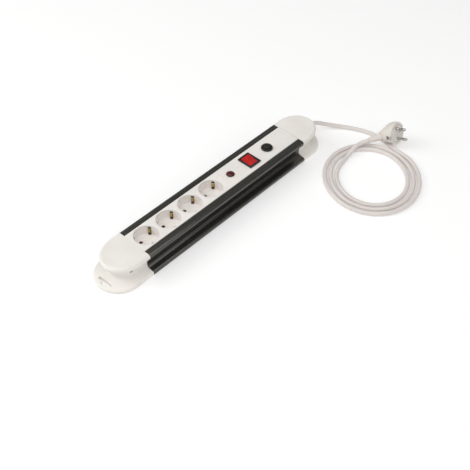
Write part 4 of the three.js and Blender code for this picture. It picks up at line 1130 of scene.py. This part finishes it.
@dataclass
class EndCap:
    """A moulded end cap: foot flange, narrow neck and the tongue over it.

    Drawn with the profile's end at X = 0 and the tip towards +X.

    Attributes:
        label: hanger or cord.
        sizes: the strip's shared sizes.
        place: where the cap goes.
        tongue: reach of the tongue.
        neck: reach of the neck.
        flange: reach of the foot flange.
    """

    label: str
    sizes: StripSizes
    place: Matrix
    tongue: float
    neck: float
    flange: float
    neck_straight: float = 24.0 * MM
    tongue_straight: float = 16.0 * MM
    bends: int = 60
    screw_at: float = 30.0 * MM
    screw_height: float = 22.5 * MM
    screw_radius: float = 2.4 * MM
    screw_sink: float = 1.2 * MM

    def ring(self, half: float, reach: float, z: float, straight: float) -> list[Vector]:
        """Points round the cap at a height: straight beside the profile, then half an ellipse."""
        points = [(GAP, -half), (GAP + straight / 2, -half)]
        for angle in (math.pi * (i / self.bends - 0.5) for i in range(self.bends + 1)):
            points.append((GAP + straight + (reach - straight) * math.cos(angle), half * math.sin(angle)))
        points += [(GAP + straight / 2, half), (GAP, half)]
        return [Vector((x, y, z)) for x, y in points]

    def skin(self) -> Piece:
        """The cap's outer skin, closed, with a flat back towards the profile."""
        s = self.sizes
        foot = (s.base_half, self.flange, self.flange - s.base_half)
        tongue = (s.rail_half, self.tongue, self.tongue_straight)
        rings = []
        for half, z in self.side():
            wide, wide_reach, wide_straight = foot if z < s.height / 2 else tongue
            share = (half - s.web_half) / (wide - s.web_half)
            reach = self.neck + (wide_reach - self.neck) * share
            straight = self.neck_straight + (wide_straight - self.neck_straight) * share
            rings.append(self.ring(half, reach, z, straight))
        middle = Vector((self.flange / 2, 0, 0))
        rings.insert(0, [middle + (p - middle) * 0.97 for p in rings[0]])
        for inset in (4.0 * MM, 4.5 * MM, 6.0 * MM):
            rings.append(self.ring(s.rail_half - inset, self.tongue - inset, s.face_top, self.tongue_straight))
        return Piece.skin(f"cap_{self.label}", rings)

    def side(self) -> list[Pair]:
        """Half section of the cap from its underside to the start of the flat top."""
        s = self.sizes
        edge = [
            *mm((0, 35.8), (-0.25, 37.6), (-1, 39), (-2.3, 40), at=(s.rail_half, 0)),
            *mm((-3.4, -0.08), at=(s.rail_half, s.face_top))]
        rounded = through([Vector(p) for p in edge], 4)
        return [*(knot for knot in s.section() if knot[1] < s.height - 4.3 * MM), *(tuple(p) for p in rounded)]

    def neck_half(self, x: float) -> float:
        """Half width of the neck at a place along the cap."""
        share = (x - self.neck_straight) / (self.neck - self.neck_straight)
        return self.sizes.web_half * math.sqrt(1 - share**2)

    def screw_place(self, side: int) -> Matrix:
        """Where a side screw's head ends, with its axis out of the cap along Z."""
        surface = side * (self.neck_half(self.screw_at) - self.screw_sink)
        return shift(self.screw_at, surface, self.screw_height) @ turn(-90 * side, "X")

    def tools(self) -> list[Piece]:
        """What is cut out of this cap besides the face's room and the screws' holes."""
        return []

    def build(self, face: FacePlate) -> None:
        """Makes the cap and its side screws, for the face that the cap meets."""
        s = self.sizes
        room = Piece.plate(
            "face_room", face.plan(s.face_half, GAP), s.face_top - s.face_wall - GAP, s.face_top + 2 * MM,
            edge=0.0)
        hole = self.screw_radius + GAP
        profile = [
            (0, -2.2 * MM), (hole, -2.2 * MM),
            *mm((0, 0.9), (1.4, 2.6), (1.4, 6), at=(hole, 0)), (0, 6 * MM)]
        seats = [Piece.turned("screw_seat", profile, 48).moved(self.screw_place(side)) for side in (-1, 1)]
        cap = self.skin().cut(room.moved(self.place.inverted()), *seats, *self.tools())
        cap.moved(self.place).dressed(Finish.CAP_WHITE, f"end_cap_{self.label}", smooth=30)
        for number, side in enumerate((1, -1), 1):
            screw = self.screw(number).moved(self.place @ self.screw_place(side))
            screw.dressed(Finish.SCREW_STEEL, f"cap_screw_{self.label}_{number}")

    def screw(self, number: int) -> Piece:
        """A cross-head screw's head and the start of its shank, ending at Z = 0."""
        r = self.screw_radius
        head = Piece.turned(f"side_screw_{self.label}_{number}", [
            *mm((0, -2.1), (1.3, -2.1), (1.3, -1.6)),
            *mm((0, -1.6), (0, -0.6), (-0.3, -0.2), (-0.9, 0), at=(r, 0)), (0, 0)], 48)
        return head.cut(*(
            Piece.plate("slot", rectangle(*sides, 0.1 * MM), -0.8 * MM, MM, edge=0.0)
            for sides in mm((3.2, 0.6), (0.6, 3.2))))


@dataclass
class HangerCap(EndCap):
    """The cap with a transverse keyhole in its foot flange."""

    keyhole_from_tip: float = 10.5 * MM
    slot: Pair = (4.6 * MM, 27.0 * MM)
    head_radius: float = 4.6 * MM
    head_offset: float = 2.2 * MM

    def tools(self) -> list[Piece]:
        """The keyhole: its slot with the round widening for a screw's head."""
        x = self.flange - self.keyhole_from_tip
        slot, head = (
            Piece.plate(name, outline, -MM, 14 * MM, edge=0.0) for name, outline in (
                ("keyhole_slot", rectangle(*self.slot, 0.8 * MM, (x, 0))),
                ("keyhole_head", circle(self.head_radius, (x + self.head_offset, 0), 64))))
        return [slot.join(head)]


@dataclass
class CordCap(EndCap):
    """The cap that the mains cord leaves through its gland."""

    gland_radius: float = 6.6 * MM
    gland_tip: float = 64.0 * MM
    gland_tip_radius: float = 4.55 * MM
    cord_height: float = 21.5 * MM

    def cord_way(self) -> Matrix:
        """Turns what is drawn along Z to lie along the cord's way out of the cap."""
        return shift(z=self.cord_height) @ turn(90, "Y")

    def tools(self) -> list[Piece]:
        """The hole for the gland, with a shallow flared mouth."""
        r = self.gland_radius + GAP
        run = [
            (0, self.neck - 12 * MM), *mm((0, -12), (0, -0.6), (1.2, 1.2), (1.2, 8), at=(r, self.neck)),
            (0, self.neck + 8 * MM)]
        return [Piece.turned("gland_hole", run, 64).moved(self.cord_way())]

    def gland(self) -> Piece:
        """Makes the strain relief where the cord leaves the cap, and returns it."""
        boot = ribbed_taper(
            "gland_boot", self.neck - 6 * MM, self.gland_tip, self.gland_radius, self.gland_tip_radius, 4)
        return boot.moved(self.place @ self.cord_way()).dressed(Finish.CORD_WHITE, "cord_gland", smooth=40)


def ribbed_taper(name: str, start: float, end: float, wide: float, narrow: float, ribs: int) -> Piece:
    """A tapered strain relief with round ribs, along Z.

    Args:
        name: name of the object.
        start: where it begins.
        end: where it ends.
        wide: radius at its start.
        narrow: radius at its end.
        ribs: how many ribs it has.

    Returns:
        The new piece.
    """
    body, groove = start + 0.16 * (end - start), 0.75 * MM
    pitch = (end - body) / (ribs + 0.6)
    profile = [(0, start), *mm((-0.3, 0), (0, 0.3), at=(wide, start))]
    flank = [(-1.6, 0.0), (-1.2, 0.25), (-0.9, 0.8), (-0.6, 1.0)]
    for i in range(ribs):
        for step, sink in (*flank, *((-step, sink) for step, sink in reversed(flank))):
            at = body + pitch * (i + 0.45 + 0.24 * step)
            radius = wide + (narrow - wide) * max(0.0, at - body) / (end - body)
            profile.append((radius - sink * groove, at))
    profile += [*mm((0, -0.4), (-0.3, 0), at=(narrow, end)), (0, end)]
    return Piece.turned(name, profile, 64)


# ---------------------------------------------------------------- plug


@dataclass
class MainsPlug:
    """The angled mains plug on the cord's end."""

    sizes: PlugSizes
    recess: float = 1.1 * MM
    voxel: float = 0.55 * MM

    def build(self) -> list[Piece]:
        """Makes the plug's body, insert, pins, earth contacts and strain relief.

        Returns:
            The pieces.
        """
        p, place = self.sizes, self.sizes.place()
        pieces = [
            self.shell().moved(place).dressed(Finish.PLUG_WHITE, "plug_body", smooth=38),
            self.insert().moved(place).dressed(Finish.PLUG_WHITE, "plug_insert")]
        for number, side in enumerate((1, -1), 1):
            pin = self.pin(number).moved(place @ shift(side * p.pin_spacing / 2))
            strip = self.earth_strip(number, side).moved(place)
            pieces.append(pin.dressed(Finish.PIN_NICKEL, f"plug_pin_{number}", smooth=40))
            pieces.append(strip.dressed(Finish.PIN_NICKEL, f"plug_earth_contact_{number}"))
        relief = ribbed_taper("plug_boot", p.relief_start + GAP, p.relief_end, 6.8 * MM, 4.65 * MM, 5)
        aim = Vector((0, 0, 1)).rotation_difference(p.cord_axis()).to_matrix().to_4x4()
        relief.moved(place @ shift(z=-p.depth) @ aim)
        pieces.append(relief.dressed(Finish.PLUG_WHITE, "plug_relief", smooth=40))
        return pieces

    def hoop(self, radius: float, centre: Vector, axis: Vector) -> list[Vector]:
        """Points of a circle, by its radius, centre and axis."""
        aim = Vector((0, 0, 1)).rotation_difference(axis)
        return [centre + aim @ Vector((u, v, 0)) for u, v in circle(radius, steps=72)]

    def shell(self) -> Piece:
        """The moulded body: a smooth skin from the round front to the slanted cord entry."""
        p = self.sizes
        bm = bmesh.new()
        hoops = ((0.6, 0, 0), (0, 0, -0.7), (0, 0, -7), (1.2, 0, -12), (3.6, -1, -17), (9, -4, -22.3))
        for inset, y, z in hoops:
            for point in self.hoop(p.radius - inset * MM, Vector((0, y * MM, z * MM)), Vector((0, 0, 1))):
                bm.verts.new(point)
        for point in self.hoop(7.6 * MM, p.on_axis(p.relief_start), p.cord_axis()):
            bm.verts.new(point)
        bmesh.ops.convex_hull(bm, input=bm.verts)
        bmesh.ops.delete(bm, geom=[v for v in bm.verts if not v.link_faces], context="VERTS")
        shell = Piece("plug_shell", bm)
        even = shell.obj.modifiers.new("even", "REMESH")
        even.mode, even.voxel_size = "VOXEL", self.voxel
        smooth = shell.obj.modifiers.new("smooth", "SMOOTH")
        smooth.factor, smooth.iterations = 0.5, 6
        foot, seat = -p.insert_depth - GAP, p.insert_radius
        cutters = [Piece.turned("seat", [
            (0, foot), (seat + GAP, foot), (seat + GAP, -0.9 * MM), *mm((0.9, 0.6), (0.9, 3), at=(seat, 0)),
            (0, 3 * MM)], 96)]
        for side in (-1, 1):
            notch = rectangle(6.6 * MM, 3.6 * MM, 0.4 * MM, (0, side * (p.radius - 0.8 * MM)))
            cutters.append(Piece.plate("notch", notch, -11 * MM, 2 * MM, edge=0.0))
            cutters.extend(self.grip(side))
        return shell.applied().cut(*cutters)

    def grip(self, side: int) -> list[Piece]:
        """Cutters of the ribbed finger recess on one flank, leaving upright ribs."""
        depth = 6 * MM
        tools = []
        for i in range(4):
            groove = rectangle(1.5 * MM, (15.2 - 0.9 * i) * MM, 0.7 * MM)
            outward = side * (self.sizes.radius - self.recess - 0.55 * MM * i + depth / 2)
            place = shift(outward, -2.5 * MM, (-9.4 - 2.3 * i) * MM) @ turn(90, "Y")
            tools.append(Piece.plate("grip_groove", groove, -depth / 2, depth / 2).moved(place))
        return tools

    def insert(self) -> Piece:
        """The front insert with the pins' holes and the earth socket."""
        p = self.sizes
        holes = [circle(p.pin_radius + GAP, (side * p.pin_spacing / 2, 0), 48) for side in (-1, 1)]
        holes.append(circle(2.6 * MM, (0, 9 * MM), 48))
        front = circle(p.insert_radius)
        return Piece.plate("plug_front", front, -p.insert_depth, -0.4 * MM, holes, edge=0.35 * MM)

    def pin(self, number: int) -> Piece:
        """A plug pin with its bulged contact end and round tip, along Z."""
        r, end, nose = self.sizes.pin_radius, self.sizes.pin_length, 1.9 * MM
        tip = [
            (r * math.cos(a), end - nose + nose * math.sin(a))
            for a in (math.radians(90 * i / 8) for i in range(8))]
        profile = [
            (0, -3 * MM), *mm((0, -3), (0, 1.2), (-0.3, 1.6), (-0.3, 9.4), (0, 9.9), at=(r, 0)), *tip, (0, end)]
        return Piece.turned(f"plug_prong_{number}", profile, 48)

    def earth_strip(self, number: int, side: int) -> Piece:
        """A side earth contact with a rounded lead-in at the front."""
        y = side * (self.sizes.radius - 2.1 * MM + GAP)
        outline = rectangle(6 * MM, MM, 0.3 * MM, (0, y))
        return Piece.plate(f"plug_earth_strip_{number}", outline, -10 * MM, -MM, edge=0.25 * MM)


# ---------------------------------------------------------------- pieces inside


INSIDE = {
    Finish.BAR_BRASS: ("line_busbar", "neutral_busbar", "earth_busbar", "switch_terminal", "breaker_terminal"),
    Finish.INSULATOR: ("contact_carrier", "cord_clamp", "lamp_barrel", "lamp_nut"),
    Finish.SCREW_STEEL: ("breaker_nut", "clamp_screw"),
    Finish.BOARD_GREEN: ("surge_board",),
    Finish.VARISTOR_BLUE: ("surge_varistor",),
    Finish.WIRE_BROWN: ("wire_line_to_breaker", "wire_breaker_to_switch", "wire_switch_to_line_bar"),
    Finish.WIRE_BLUE: ("wire_neutral_to_switch", "wire_switch_to_neutral_bar"),
    Finish.WIRE_EARTH: ("wire_earth_to_bar",),
    Finish.CORD_WHITE: ("cord_sheath",),
}


def dress_inside() -> None:
    """Gives the frame's own inner pieces their finishes."""
    for finish, names in INSIDE.items():
        for node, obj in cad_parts.items():
            if node.startswith(names):
                finish.worn_by(obj)
                LOG.info("%s: %s", node, finish.slot)


def main() -> None:
    """Builds the object's pieces in order around the frame."""
    logging.basicConfig(level=logging.INFO, format="%(message)s")
    Studio().build()
    sizes = StripSizes()
    plug = PlugSizes(face=Vector((sizes.end + 140.2 * MM, -128.7 * MM, 27.5 * MM)))
    plug_pieces = MainsPlug(plug).build()
    at_start, at_end = shift(sizes.start) @ turn(180, "Z"), shift(sizes.end)
    cord_cap = CordCap("cord", sizes, at_end, tongue=57 * MM, neck=44 * MM, flange=62.5 * MM)
    hanger_cap = HangerCap("hanger", sizes, at_start, tongue=59.5 * MM, neck=48 * MM, flange=73 * MM)
    MainsCord(sizes.end, plug).build([*plug_pieces, cord_cap.gland()])
    AluminiumProfile(sizes).build()
    face = FacePlate(sizes)
    face.build()
    cord_cap.build(face)
    hanger_cap.build(face)
    for number in range(1, 5):
        EarthedSocket(number).build(sizes.face_top, sizes.face_top - sizes.face_wall - GAP)
    for fitting in (IndicatorLamp(), RockerSwitch(), ResetBreaker()):
        fitting.build(sizes.face_top + GAP)
    dress_inside()


if __name__ == "__main__":
    main()
